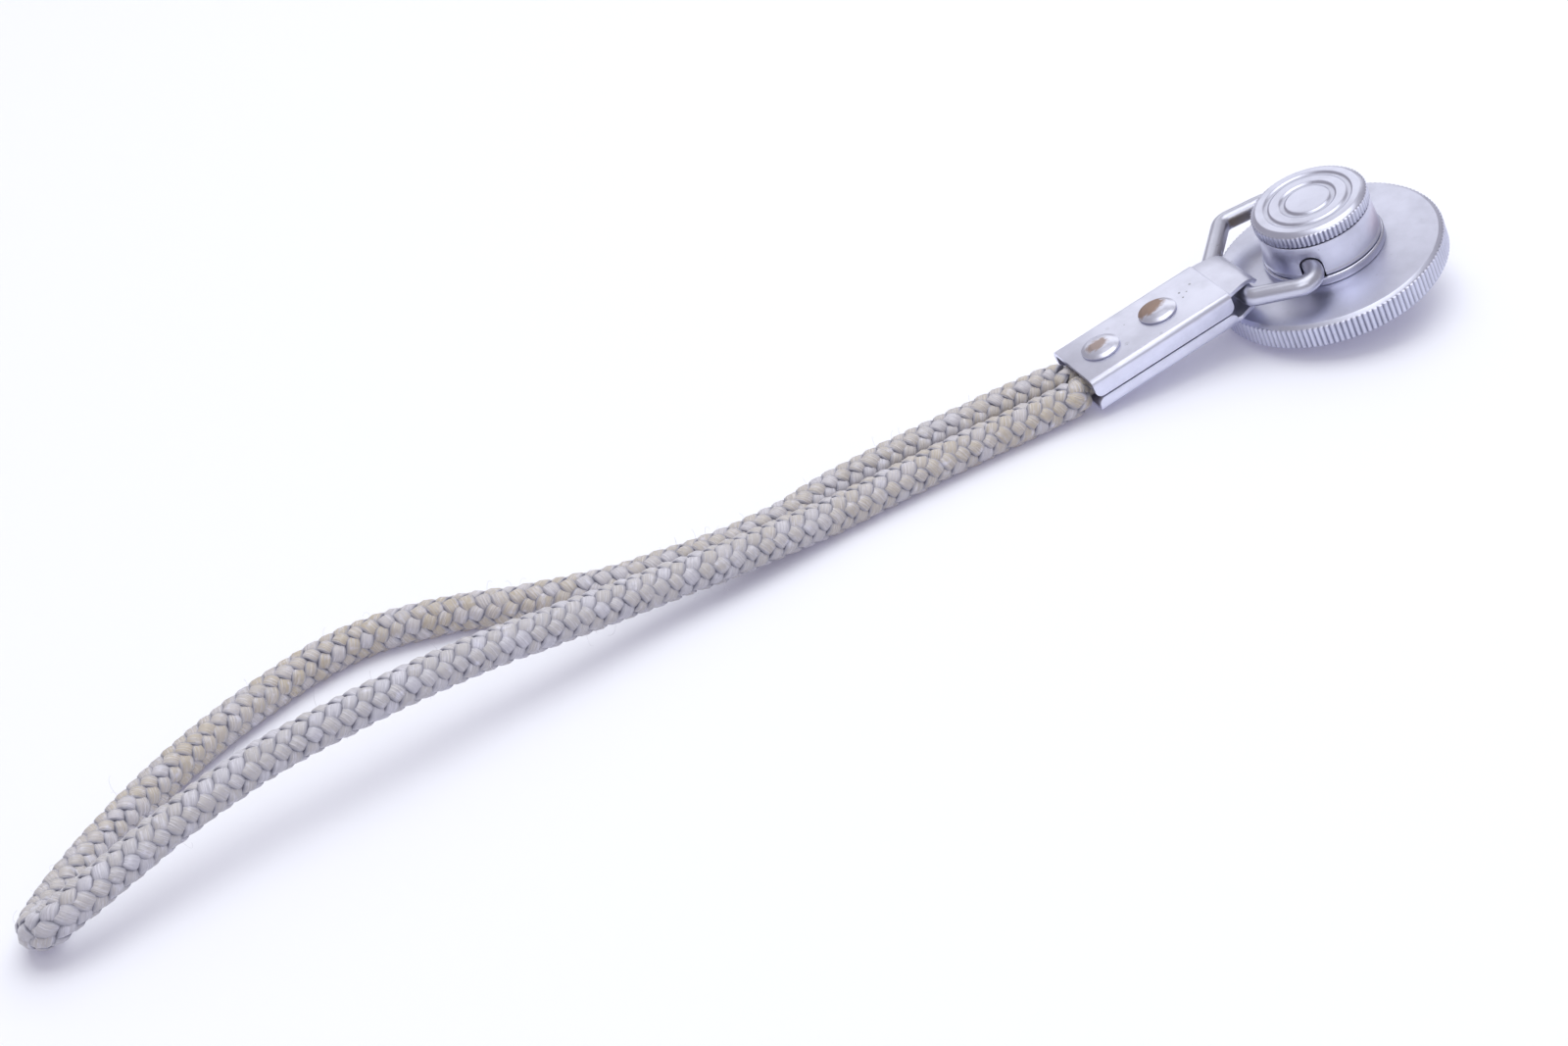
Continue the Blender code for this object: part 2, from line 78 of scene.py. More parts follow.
# Camera at the photograph's angle
CAMERA_PLACE = (-0.1928359, -0.3715908, 0.2409837)
CAMERA_HEADING = math.radians(16.8235)
CAMERA_ELEVATION = math.radians(31.7253)
CAMERA_ROLL = math.radians(13.2679)
CAMERA_LENS = 72.0

# Lamps: the place they face, their colour, and the width of the one in reflections as a share of the key's
LAMP_AIM = Vector((-0.08, -0.01, 0))
LAMP_COLOUR = (0.97, 1.0, 0.98)
SHINE_SHARE = 0.58

# Heights in the head's frame
WIRE_HEIGHT = 4.35 * MM
COLLAR_BOTTOM = 2.45 * MM
COLLAR_TOP = 7.75 * MM
CAP_BOTTOM = 8.05 * MM
CAP_TOP = 10.4 * MM
FERRULE_TOP = 7.1 * MM
FERRULE_BOTTOM = 1.4 * MM
SEAM_HEIGHT = 3.794 * MM
SEAM_GAP = 0.22 * MM

# Ferrule, as in the solids
FERRULE_FRONT = -18.7 * MM
FERRULE_REAR = -43.6 * MM
FERRULE_OFFSET = 0.75 * MM
FERRULE_SHEET = 0.7 * MM
FERRULE_CORNER_BEND = 1.2 * MM
FERRULE_FOLD_BEND = 1.0 * MM
FERRULE_EDGE_BEND = 0.13 * MM
RIVET_PLACES = {"rivet_rear": -38.3 * MM, "rivet_front": -28.0 * MM}

# Worn place on each rivet's head: along the ferrule, across it, its size each way, and how brown it is
RIVET_WEAR = {
    "rivet_rear": (-0.35 * MM, 0.15 * MM, (1.9 * MM, 1.25 * MM, 2.3 * MM), 0.75),
    "rivet_front": (-0.55 * MM, 1.25 * MM, (2.7 * MM, 1.9 * MM, 2.7 * MM), 0.9),
}

# Pits and scuffs on the ferrule's top, in millimetres: along it, across it, size, and how dark
FERRULE_PITS = (
    (-23.4, 1.9, 0.28, 0.8), (-23.6, 0.4, 0.22, 0.8), (-21.2, 2.4, 0.30, 0.6), (-22.5, 1.2, 0.20, 0.7),
    (-35.1, -1.8, 0.60, 0.12), (-35.2, 4.1, 0.50, 0.12), (-30.4, -4.3, 0.40, 0.2), (-33.0, 2.6, 0.18, 0.4),
)

# Rows of the upper tongue and the lower sill: share of the reach, share of the drop,
# half width and sideways shift over the ferrule's width
TONGUE_REACH = 5.5 * MM
TONGUE_DROP = 1.85 * MM
TONGUE_ROWS = (
    (0.03, 0.150, 0.452, 0.000), (0.12, 0.150, 0.448, 0.002), (0.21, 0.150, 0.440, 0.005),
    (0.35, 0.160, 0.428, 0.010), (0.49, 0.185, 0.415, 0.015), (0.62, 0.240, 0.405, 0.020),
    (0.75, 0.350, 0.395, 0.025), (0.84, 0.480, 0.390, 0.028), (0.91, 0.630, 0.385, 0.030),
    (0.96, 0.800, 0.380, 0.030), (1.00, 1.000, 0.375, 0.030),
)
SILL_REACH = 4.8 * MM
SILL_RISE = 0.45 * MM
SILL_ROWS = (
    (0.15, 0.00, 0.440, 0.000), (0.30, 0.00, 0.420, 0.000), (0.65, 0.35, 0.390, 0.005),
    (1.00, 1.00, 0.360, 0.010),
)

# Bail, as in the solids
BAIL_REACH = 15.6 * MM
BAIL_SWING = math.radians(18.5)
BAIL_FORWARD = Vector((math.cos(BAIL_SWING), -math.sin(BAIL_SWING), 0))
BAIL_ACROSS = Vector((math.sin(BAIL_SWING), math.cos(BAIL_SWING), 0))
BAIL_SEAT = -3.26 * MM * BAIL_FORWARD + Vector((0, 0, WIRE_HEIGHT))
BAIL_MIDDLE = BAIL_SEAT + Vector((-6 * MM, 3 * MM, 0))
BAIL_END_INSIDE = 5.3 * MM
BAIL_ELBOW = 13.2 * MM
BAIL_NEAR_BASE = -5.16 * MM
BAIL_FAR_BASE = 7.03 * MM
BAIL_FAR_SHOULDER = (7.4 * MM, 8.5 * MM)
BAIL_BENDS = (2.5 * MM, 1.8 * MM, 1.8 * MM, 2.2 * MM, 2.5 * MM)
BAIL_FLAT = 0.90
# Brown on the wire's inner side, partly tarnish and partly painted shade: its colour, and where along the
# wire it starts and how far it grows
BAIL_TARNISH_AND_SHADE = (0.30, 0.255, 0.215)
BAIL_TARNISH_AND_SHADE_START = 1 * MM
BAIL_TARNISH_AND_SHADE_SPAN = 6 * MM
NOTCH_CLEARANCE = 0.20 * MM

# Painted warm sheen, a reflection laid on the collar's near side, and where it lies
COLLAR_PAINTED_SHEEN = (0.75, 0.60, 0.68)
COLLAR_PAINTED_SHEEN_PLACE = (7.0 * MM, -6.0 * MM, 5.0 * MM)
COLLAR_PAINTED_SHEEN_REACH = (5 * MM, 5 * MM, 3 * MM)

# Grooves turned in the cap's top: share of its radius, width and depth in millimetres
CAP_GROOVES = ((0.435, 0.46, 0.24), (0.715, 0.42, 0.22))
CAP_DOME = 0.08
CAP_STEPS = 72
CAP_KNURL_DEPTH = 0.23 * MM
WHEEL_KNURL_DEPTH = 0.29 * MM

# Screw and its hub
HUB_RADIUS = 4.3 * MM
HUB_BOTTOM = 1.05 * MM
SCREW_LENGTH = 4.5 * MM
SCREW_POINT = 0.45 * MM
THREAD_DEPTH = 0.55 * MM
THREAD_ROW = 0.08 * MM
THREAD_FADE = 0.6 * MM

# Middle line of the cord, in the frame of the solids: out along the near strand, round the tip
# and back along the far strand
CORD_ROUTE = (
    (-38.8, -2.4, 2.95), (-52.8, -3.4, 2.9), (-66.6, -5.1, 2.9), (-74.8, -6.3, 3.1),
    (-83.2, -7.9, 4.0), (-93.1, -9.4, 4.9), (-102.7, -10.4, 5.9), (-112.1, -12.1, 7.3),
    (-121.1, -13.8, 8.7), (-130.0, -15.0, 9.9), (-141.9, -17.4, 11.2), (-153.7, -19.5, 11.6),
    (-165.5, -21.4, 11.2), (-177.6, -24.7, 10.0), (-186.8, -27.6, 8.5), (-193.2, -29.3, 7.2),
    (-197.2, -29.3, 5.7), (-198.9, -26.6, 4.1), (-197.6, -22.9, 3.0), (-193.9, -18.4, 2.9),
    (-186.6, -11.3, 2.9), (-178.6, -4.9, 2.9), (-168.4, 1.9, 2.9), (-158.3, 6.8, 2.9),
    (-150.0, 9.8, 2.9), (-140.6, 10.8, 2.9), (-129.5, 8.0, 2.9), (-120.0, 3.4, 2.9),
    (-107.9, -0.8, 2.9), (-98.9, -2.2, 2.9), (-89.7, -3.0, 2.9), (-79.9, -1.8, 2.9),
    (-72.5, 0.3, 2.9), (-59.5, 2.3, 2.95), (-45.8, 3.6, 3.0), (-38.9, 4.0, 3.1),
)
CORD_STEPS = 24
CORD_SPACING = 0.25 * MM

# Ends of the cord in the ferrule's mouth
MOUTH_HEIGHT = (FERRULE_TOP + FERRULE_BOTTOM) / 2
CORD_TAIL = 3.6 * MM
CORD_TAIL_RADIUS = 1.85 * MM
CORD_TAIL_OFFSET = 2.0 * MM
CORD_SPREAD = 6.1 * MM
CORD_SWELL = 2.0 * MM
CORD_MOUTH_GAP = 0.6 * MM

# How stained the cord is along its length: most at both ends and past the tip, least on the arch
STAIN_PLACES = (0.0, 0.08, 0.20, 0.33, 0.50, 0.56, 0.62, 0.74, 0.80, 0.92, 1.0)
STAIN_LEVELS = (1.00, 0.80, 0.35, 0.15, 0.35, 0.90, 1.00, 1.00, 0.60, 0.55, 0.90)

# Braid of eight yarns: rows of floats round the cord, each the stretch of one yarn between two dives.
# The radii are shares of the cord's own.
BRAID_ROWS = 8
BRAID_FIRST_ROW = math.radians(21.6)
BRAID_MEAN_RADIUS = 0.84
FILLING_RADIUS = 0.72
FILLING_SIDES = 16
FLOAT_STEP = 4.0
YARN_MIDDLE = 0.68
YARN_RISE = 0.12
YARN_THICKNESS = 0.205
YARN_TOP = 1.005
YARN_WIDTH_SHARE = 1.18
YARN_REACH = 1.16
YARN_SQUARENESS = 0.8
YARN_SIZE_SPREAD = 0.05
YARN_NUDGE = 0.07 * MM
YARN_TILT = math.radians(3.0)
YARN_SWELL = 0.06

# Where the yarn counts as deep, and where as its edge, for the painted shade in the creases: level at which
# it starts, and span up to the top
YARN_DEEP = (0.66, 0.26)
YARN_EDGE = (0.45, 0.40)

# Shift of the fibres from one float to the next, in millimetres: along it, after how far it starts again,
# and its share across the float
FIBRE_SHIFT = 7.3
FIBRE_REPEAT = 91
FIBRE_ACROSS = 0.37

# Loose hairs: how far they stand off and slide along the cord, in millimetres, and every ninth is longer
HAIR_RADIUS = 0.016 * MM
HAIR_REACH = (0.5, 1.5)
HAIR_SLIDE = 1.2
HAIR_SWING = 0.5
HAIR_POINTS = 7
HAIR_ROOT = 0.94
LONG_HAIR_EVERY = 9
LONG_HAIR_SHARE = 1.8
HAIR_FLOOR_GAP = 0.02 * MM


def head_matrix():
    """Place of the head's frame, from the knob's joint: Z up the screw, X from the strap to the knob."""
    joint = next(item for item in frame["joints"] if item["name"] == "knob_turn")
    up = Vector(joint["axis"]).normalized()
    across = Vector((0, 1, 0))
    matrix = Matrix((across.cross(up), across, up)).transposed().to_4x4()
    matrix.translation = Vector(joint["pos_m"])
    return matrix


HEAD = head_matrix()


class StrapStageSettings(bpy.types.PropertyGroup):
    floor_size: FloatProperty(name="Floor size", description="Width of the floor", default=6.0, unit="LENGTH")
    floor_colour: FloatVectorProperty(
        name="Floor colour", description="Colour of the floor", default=(0.655, 0.665, 0.70), subtype="COLOR")
    # Painted light: the floor glows, with no lamp beneath it, to lift the shadows on it
    painted_floor_glow: FloatVectorProperty(
        name="Floor glow", description="Light that comes through the floor", default=(0.14, 0.133, 0.18),
        subtype="COLOR")
    key_power: FloatProperty(name="Key power", description="Power of the soft light overhead", default=16.5)
    key_shine: FloatProperty(
        name="Key shine", description="Share of the key that shows in reflections", default=0.27,
        min=0.0, max=1.0)
    key_size: FloatProperty(
        name="Key size", description="Width of the light overhead", default=1.8, unit="LENGTH")
    back_power: FloatProperty(name="Back power", description="Power of the wide light behind", default=4.3)
    front_power: FloatProperty(
        name="Front power", description="Power of the light over the camera", default=2.8)
    world_colour: FloatVectorProperty(
        name="Surround colour", description="Colour of the light from all round", default=(0.98, 0.945, 1.0),
        subtype="COLOR")
    world_strength: FloatProperty(
        name="Surround strength", description="Strength of the light from all round", default=0.46)


class StrapCordSettings(bpy.types.PropertyGroup):
    diameter: FloatProperty(
        name="Cord diameter", description="Outside diameter of the braid", default=5.7 * MM, unit="LENGTH")
    pitch: FloatProperty(
        name="Braid pitch", description="Distance from one float to the next in its row", default=2.45 * MM,
        unit="LENGTH")
    yarn: FloatVectorProperty(
        name="Yarn colour", description="Colour of clean yarn", default=(0.65, 0.64, 0.765), subtype="COLOR")
    rubbed: FloatVectorProperty(
        name="Rubbed colour", description="Colour of the floats' worn tops", default=(0.44, 0.425, 0.465),
        subtype="COLOR")
    stain: FloatVectorProperty(
        name="Stain colour", description="Colour of yellowed yarn", default=(0.435, 0.375, 0.305),
        subtype="COLOR")
    # Painted shade: the colour laid deep between the floats and towards their edges
    crease_shade: FloatVectorProperty(
        name="Crease colour", description="Colour deep between the floats", default=(0.075, 0.075, 0.11),
        subtype="COLOR")
    hairs: IntProperty(name="Loose hairs", description="Number of loose fibres", default=150, min=0)


class StrapHeadSettings(bpy.types.PropertyGroup):
    wheel_radius: FloatProperty(
        name="Wheel radius", description="Outside radius of the thumb wheel", default=18.0 * MM,
        unit="LENGTH")
    wheel_thickness: FloatProperty(
        name="Wheel thickness", description="Height of the wheel's rim", default=4.0 * MM, unit="LENGTH")
    wheel_ridges: IntProperty(name="Wheel ridges", description="Ridges round the wheel's rim", default=132)
    cap_radius: FloatProperty(
        name="Cap radius", description="Outside radius of the cap", default=9.0 * MM, unit="LENGTH")
    cap_ridges: IntProperty(name="Cap ridges", description="Ridges round the cap's edge", default=76)
    collar_radius: FloatProperty(
        name="Collar radius", description="Radius of the collar at its foot", default=9.1 * MM, unit="LENGTH")
    stud_radius: FloatProperty(
        name="Screw radius", description="Outside radius of the screw", default=3.175 * MM, unit="LENGTH")
    thread_pitch: FloatProperty(
        name="Thread pitch", description="Distance between two turns of the thread", default=1.27 * MM,
        unit="LENGTH")
    chrome: FloatVectorProperty(
        name="Plating", description="Colour of the plated knob", default=(0.67, 0.68, 0.82), subtype="COLOR")


class StrapFerruleSettings(bpy.types.PropertyGroup):
    width: FloatProperty(
        name="Ferrule width", description="Width of the ferrule", default=12.4 * MM, unit="LENGTH")
    wire_diameter: FloatProperty(
        name="Wire diameter", description="Thickness of the bail's wire", default=2.9 * MM, unit="LENGTH")
    rivet_radius: FloatProperty(
        name="Rivet radius", description="Radius of a rivet's head", default=3.0 * MM, unit="LENGTH")
    sheet: FloatVectorProperty(
        name="Sheet colour", description="Colour of the ferrule's plating", default=(0.77, 0.78, 0.92),
        subtype="COLOR")
    brown: FloatVectorProperty(
        name="Worn colour", description="Brown that shows through worn plating", default=(0.37, 0.25, 0.19),
        subtype="COLOR")


def rounded(corners, bends, arc_steps):
    """A line through corners, each inner one rounded to the bend radius given for it, or left sharp at 0."""
    points = [Vector(corners[0])]
    for index in range(1, len(corners) - 1):
        corner = Vector(corners[index])
        bend = bends[index - 1]
        if bend <= 0:
            points.append(corner)
            continue
        back = (Vector(corners[index - 1]) - corner).normalized()
        ahead = (Vector(corners[index + 1]) - corner).normalized()
        half_turn = (math.pi - back.angle(ahead)) / 2
        centre = corner + (back + ahead).normalized() * (bend / math.cos(half_turn))
        first = corner + back * bend * math.tan(half_turn) - centre
        axis = first.cross(corner + ahead * bend * math.tan(half_turn) - centre).normalized()
        for step in range(arc_steps + 1):
            points.append(centre + Matrix.Rotation(2 * half_turn * step / arc_steps, 3, axis) @ first)
    points.append(Vector(corners[-1]))
    return points


def profile_line(corners, arc_steps=3):
    """Profile for turning from (radius, height, bend) in millimetres, as points in the XZ plane in metres."""
    places = [Vector((radius, 0, height)) * MM for radius, height, bend in corners]
    return rounded(places, [bend * MM for radius, height, bend in corners[1:-1]], arc_steps)


def turned(line, steps, closed=False):
    """A bmesh turned about Z from a line of points in the XZ plane."""
    bm = bmesh.new()
    verts = [bm.verts.new(point) for point in line]
    pairs = list(zip(verts, verts[1:]))
    if closed:
        pairs.append((verts[-1], verts[0]))
    edges = [bm.edges.new(pair) for pair in pairs]
    bmesh.ops.spin(bm, geom=verts + edges, cent=(0, 0, 0), axis=(0, 0, 1), angle=math.tau, steps=steps,
                   use_merge=True)
    bmesh.ops.remove_doubles(bm, verts=bm.verts[:], dist=SAME_PLACE)
    bmesh.ops.recalc_face_normals(bm, faces=bm.faces[:])
    return bm


def extruded(bm, edges):
    """Extrudes edges, and gives the new edges and their vertices."""
    made = bmesh.ops.extrude_edge_only(bm, edges=edges)["geom"]
    return ([item for item in made if isinstance(item, bmesh.types.BMEdge)],
            [item for item in made if isinstance(item, bmesh.types.BMVert)])


def cut_below(bm, height):
    """Cuts away what lies below a height."""
    bmesh.ops.bisect_plane(bm, geom=bm.verts[:] + bm.edges[:] + bm.faces[:], dist=SAME_PLACE,
                           plane_co=(0, 0, height), plane_no=(0, 0, -1), clear_outer=True)


def close_rim(bm):
    """Closes the open rim of a shape with one face, and gives that face in a list."""
    return bmesh.ops.contextual_create(bm, geom=[edge for edge in bm.edges if edge.is_boundary])["faces"]


def sweep(section, places):
    """A bmesh of a closed section carried along places, each a matrix, and closed at both ends."""
    bm = bmesh.new()
    ring = [bm.verts.new(places[0] @ Vector((*point, 0))) for point in section]
    edges = [bm.edges.new(pair) for pair in zip(ring, ring[1:] + ring[:1])]
    bmesh.ops.contextual_create(bm, geom=edges)
    for before, after in zip(places, places[1:]):
        edges, ring = extruded(bm, edges)
        bmesh.ops.transform(bm, matrix=after @ before.inverted(), verts=ring)
    bmesh.ops.contextual_create(bm, geom=edges)
    bmesh.ops.recalc_face_normals(bm, faces=bm.faces[:])
    return bm


def circle(radius, sides):
    """Corners of a many-sided section of wire or cord."""
    turns = [math.tau * step / sides for step in range(sides)]
    return [(radius * math.cos(turn), radius * math.sin(turn)) for turn in turns]


def along_line(points, scales=None):
    """A matrix at each point of a line, with Z along it and Y as near up as it can be."""
    places = []
    for index, point in enumerate(points):
        ahead = (points[min(index + 1, len(points) - 1)] - points[max(index - 1, 0)]).normalized()
        side = Vector((0, 0, 1)).cross(ahead).normalized()
        scale = scales[index] if scales else 1.0
        turn = Matrix((side, ahead.cross(side), ahead)).transposed() @ Matrix.Diagonal((scale, scale, 1.0))
        places.append(Matrix.Translation(point) @ turn.to_4x4())
    return places


def press_in(vert, depth):
    """Moves a vertex towards the Z axis by a depth."""
    away = math.hypot(vert.co.x, vert.co.y)
    vert.co.x *= (away - depth) / away
    vert.co.y *= (away - depth) / away


def knurl(bm, ridges, radius, depth, low, high, fade):
    """Presses grooves along Z into the rim of a turned shape, between the heights low and high, and stores
    each groove's share, which the material darkens with grime and painted shade.
    """
    groove_grime_and_shade = bm.verts.layers.float.new("groove_grime_and_shade")
    for vert in bm.verts:
        share = min(1.0, (vert.co.z - low) / fade, (high - vert.co.z) / fade)
        if math.hypot(vert.co.x, vert.co.y) < radius - 2 * depth or share <= 0:
            continue
        groove = 1 - abs(math.sin(ridges * math.atan2(vert.co.y, vert.co.x) / 2))
        press_in(vert, depth * share * groove)
        vert[groove_grime_and_shade] = share * groove


def shade(mesh, sharp):
    """Shades a mesh smooth, but for edges sharper than an angle in degrees."""
    mesh.shade_smooth()
    mesh.set_sharp_from_angle(angle=math.radians(sharp))


def add_piece(name, bm, materials, place=None, sharp=35.0):
    """Makes a piece of a bmesh, with its place in its mesh, and links it."""
    if not bm.faces:
        raise RuntimeError(name + " has no faces")
    old = bpy.data.objects.get(name)
    if old is not None and "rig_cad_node" not in old:
        bpy.data.objects.remove(old, do_unlink=True)
    if place is not None:
        bmesh.ops.transform(bm, matrix=place, verts=bm.verts[:])
    mesh = bpy.data.meshes.new(name)
    bm.to_mesh(mesh)
    bm.free()
    shade(mesh, sharp)
    for material in materials:
        mesh.materials.append(material)
    piece = bpy.data.objects.new(name, mesh)
    bpy.context.scene.collection.objects.link(piece)
    return piece


def stand_for(piece, body, slot, *nodes):
    """Rides a piece on its body, in place of its solids; its slot argument is not used."""
    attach(piece, body)
    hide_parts(*nodes)


def evaluated_mesh(piece):
    """A new mesh of a piece as its modifiers, or its curve's thickness, shape it."""
    graph = bpy.context.evaluated_depsgraph_get()
    return bpy.data.meshes.new_from_object(piece.evaluated_get(graph))


def applied(piece):
    """Makes a piece's modifiers part of its mesh."""
    mesh = evaluated_mesh(piece)
    old = piece.data
    piece.modifiers.clear()
    piece.data = mesh
    bpy.data.meshes.remove(old)
    mesh.name = piece.name


def add_node(tree, kind, sockets=None, **settings):
    """Adds a node, and fills its sockets with values or with other nodes' outputs."""
    node = tree.nodes.new(kind)
    for key, value in settings.items():
        setattr(node, key, value)
    for key, value in (sockets or {}).items():
        if isinstance(value, bpy.types.NodeSocket):
            tree.links.new(value, node.inputs[key])
        else:
            node.inputs[key].default_value = value
    return node


def new_material(name, sockets):
    """A material with a Principled shader whose plain values are set on its own sockets."""
    material = bpy.data.materials.new(name)
    material.use_nodes = True
    shader = material.node_tree.nodes["Principled BSDF"]
    for key, value in sockets.items():
        shader.inputs[key].default_value = value
    return material, material.node_tree, shader


def blend_colour(tree, share, first, second):
    """Colour between first and second, which are colours or outputs, by a share that is an output."""
    ends = [end if isinstance(end, bpy.types.NodeSocket) else (*end[:3], 1.0) for end in (first, second)]
    mix = add_node(tree, "ShaderNodeMix", {0: share, 6: ends[0], 7: ends[1]}, data_type="RGBA")
    return mix.outputs[2]


def ramp(tree, value, low, high):
    """Share that rises smoothly from 0 to 1 as value goes from low to high."""
    node = add_node(tree, "ShaderNodeMapRange", {"Value": value, "From Min": low, "From Max": high},
                    interpolation_type="SMOOTHSTEP")
    return node.outputs["Result"]


def noise(tree, vector, scale, detail=2.0, roughness=0.5):
    node = add_node(tree, "ShaderNodeTexNoise",
                    {"Vector": vector, "Scale": scale, "Detail": detail, "Roughness": roughness})
    return node.outputs["Fac"]


def times(tree, first, second):
    return add_node(tree, "ShaderNodeMath", {0: first, 1: second}, operation="MULTIPLY").outputs[0]


def plus(tree, first, second):
    return add_node(tree, "ShaderNodeMath", {0: first, 1: second}, operation="ADD").outputs[0]


def stored(tree, name):
    """What a piece's mesh stores under a name, such as the grime and painted shade of its grooves."""
    return add_node(tree, "ShaderNodeAttribute", attribute_name=name).outputs["Fac"]


def bumped(tree, shader, strength, distance, height):
    bump = add_node(tree, "ShaderNodeBump", {"Strength": strength, "Distance": distance, "Height": height})
    tree.links.new(bump.outputs["Normal"], shader.inputs["Normal"])


def lay_over(tree, shader, share, colour):
    """Lays a colour over a shader's own where share, an output, is high."""
    source = shader.inputs["Base Color"].links[0].from_socket
    tree.links.new(blend_colour(tree, share, source, colour), shader.inputs["Base Color"])


def object_coordinates(tree):
    return add_node(tree, "ShaderNodeTexCoord").outputs["Object"]


def head_coordinates(tree, centre=(0, 0, 0), stretch=(1, 1, 1)):
    """Object coordinates turned into the head's frame about a centre there, and divided by stretch."""
    node = add_node(tree, "ShaderNodeMapping",
                    {"Vector": object_coordinates(tree), "Location": HEAD @ Vector(centre),
                     "Rotation": HEAD.to_euler(), "Scale": stretch},
                    vector_type="TEXTURE")
    return node.outputs["Vector"]


def spot(tree, centre, reach, outer, inner, ragged=None):
    """Share that rises to 1 in a spot of the head's frame, made ragged by a noise's scale and detail."""
    place = head_coordinates(tree, centre, reach)
    away = add_node(tree, "ShaderNodeVectorMath", {0: place}, operation="LENGTH").outputs["Value"]
    if ragged:
        away = plus(tree, away, noise(tree, place, *ragged))
    return ramp(tree, away, outer, inner)


def metal(name, colour, roughness, pattern, specks=0.5):
    """Plated metal with smudges, small dark specks, the fine lines of turning or brushing, and grooves
    darkened by grime and painted shade.
    """
    material, tree, shader = new_material(name, {"Metallic": 1.0})
    place = head_coordinates(tree)
    smudge = noise(tree, place, 180.0, 4.0, 0.6)
    dirt = ramp(tree, noise(tree, place, 620.0, 5.0, 0.7), 0.64, 0.78)
    grain = noise(tree, place, 5200.0, 2.0, 0.6)
    if pattern == "turned":
        split = add_node(tree, "ShaderNodeSeparateXYZ", {"Vector": place})
        flat = add_node(tree, "ShaderNodeCombineXYZ", {"X": split.outputs["X"], "Y": split.outputs["Y"]})
        away = add_node(tree, "ShaderNodeVectorMath", {0: flat.outputs["Vector"]}, operation="LENGTH")
        rings = add_node(tree, "ShaderNodeCombineXYZ", {"X": away.outputs["Value"], "Y": split.outputs["Z"]})
        lines = noise(tree, rings.outputs["Vector"], 5500.0, 3.0, 0.65)
    elif pattern == "brushed":
        lines = noise(tree, head_coordinates(tree, stretch=(18.0, 1.0, 1.0)), 4200.0, 3.0, 0.65)
    else:
        lines = grain
    dull = [component * 0.88 for component in colour]
    dark = [component * 0.30 for component in colour]
    base = blend_colour(tree, ramp(tree, smudge, 0.35, 0.75), colour, dull)
    base = blend_colour(tree, times(tree, dirt, specks), base, dark)
    # Grooves darkened, partly grime and partly painted shade
    base = blend_colour(tree, times(tree, stored(tree, "groove_grime_and_shade"), 0.55), base, dark)
    tree.links.new(base, shader.inputs["Base Color"])
    level = add_node(tree, "ShaderNodeMapRange",
                     {"Value": smudge, "From Min": 0.3, "From Max": 0.7,
                      "To Min": roughness * 0.92, "To Max": roughness * 1.1})
    tree.links.new(level.outputs["Result"], shader.inputs["Roughness"])
    bumped(tree, shader, 0.35, 0.012 * MM, plus(tree, lines, times(tree, grain, 0.5)))
    return material, tree, shader


def brown_patch(tree, shader, share, brown):
    """Lays brown over a metal's colour where share, an output, is high, and makes it rougher there."""
    lay_over(tree, shader, share, brown)
    source = shader.inputs["Roughness"].links[0].from_socket
    rough = add_node(tree, "ShaderNodeMix", {0: share, 2: source, 3: 0.55})
    tree.links.new(rough.outputs[0], shader.inputs["Roughness"])


def at_places(places, reach, rows):
    """Rows of three coordinates at places along a line, between the rows known at reach."""
    return np.stack([np.interp(places, reach, rows[:, axis]) for axis in range(3)], axis=1)


def cord_end(hand):
    """Points of the cord's end in the ferrule, from inside it to where the cord has its full width again."""
    inner = FERRULE_OFFSET + hand * CORD_TAIL_OFFSET
    outer = FERRULE_OFFSET + hand * CORD_SPREAD / 2
    return [HEAD @ Vector((FERRULE_REAR + along, aside, MOUTH_HEIGHT)) for along, aside in (
        (CORD_TAIL, inner), (-CORD_MOUTH_GAP, inner), (-CORD_MOUTH_GAP - CORD_SWELL, outer))]


def cord_line(diameter):
    """Evenly spaced points down the cord's middle, and the cord's radius at each, from mouth to mouth."""
    chosen = [Vector(point) * MM for point in CORD_ROUTE]
    knots = cord_end(-1) + chosen + cord_end(1)[::-1]
    ends = [2 * knots[0] - knots[1]] + knots + [2 * knots[-1] - knots[-2]]
    fine = []
    sizes = []
    full = diameter / 2
    narrow = [CORD_TAIL_RADIUS, CORD_TAIL_RADIUS, full]
    radii = narrow + [full] * len(chosen) + narrow[::-1]
    for index in range(1, len(ends) - 2):
        before, start, stop, after = ends[index - 1:index + 3]
        for step in range(CORD_STEPS):
            share = step / CORD_STEPS
            fine.append(0.5 * (2 * start + (stop - before) * share
                               + (2 * before - 5 * start + 4 * stop - after) * share ** 2
                               + (3 * start - before - 3 * stop + after) * share ** 3))
            sizes.append(radii[index - 1] * (1 - share) + radii[index] * share)
    fine.append(knots[-1])
    sizes.append(radii[-1])
    fine = np.array(fine)
    travelled = np.concatenate([[0], np.cumsum(np.linalg.norm(np.diff(fine, axis=0), axis=1))])
    places = np.arange(0, travelled[-1], CORD_SPACING)
    return at_places(places, travelled, fine), np.interp(places, travelled, sizes)


def cord_frames(line):
    """Directions up and out to the near side at each point of the cord, square to its length."""
    ahead = np.gradient(line, axis=0)
    window = np.ones(9) / 9
    ahead = np.stack([np.convolve(np.pad(ahead[:, axis], 4, mode="edge"), window, mode="valid")
                      for axis in range(3)], axis=1)
    ahead /= np.linalg.norm(ahead, axis=1)[:, None]
    up = np.array([0.0, 0.0, 1.0]) - ahead[:, 2:3] * ahead
    up /= np.linalg.norm(up, axis=1)[:, None]
    return up, np.cross(up, ahead)


def on_cord(line, up, out, along, turn, radius):
    """Points at a distance along the cord, an angle from up round it and a distance from its middle."""
    reach = np.arange(len(line)) * CORD_SPACING
    round_it = np.cos(turn)[:, None] * at_places(along, reach, up)
    round_it += np.sin(turn)[:, None] * at_places(along, reach, out)
    return at_places(along, reach, line) + radius[:, None] * round_it


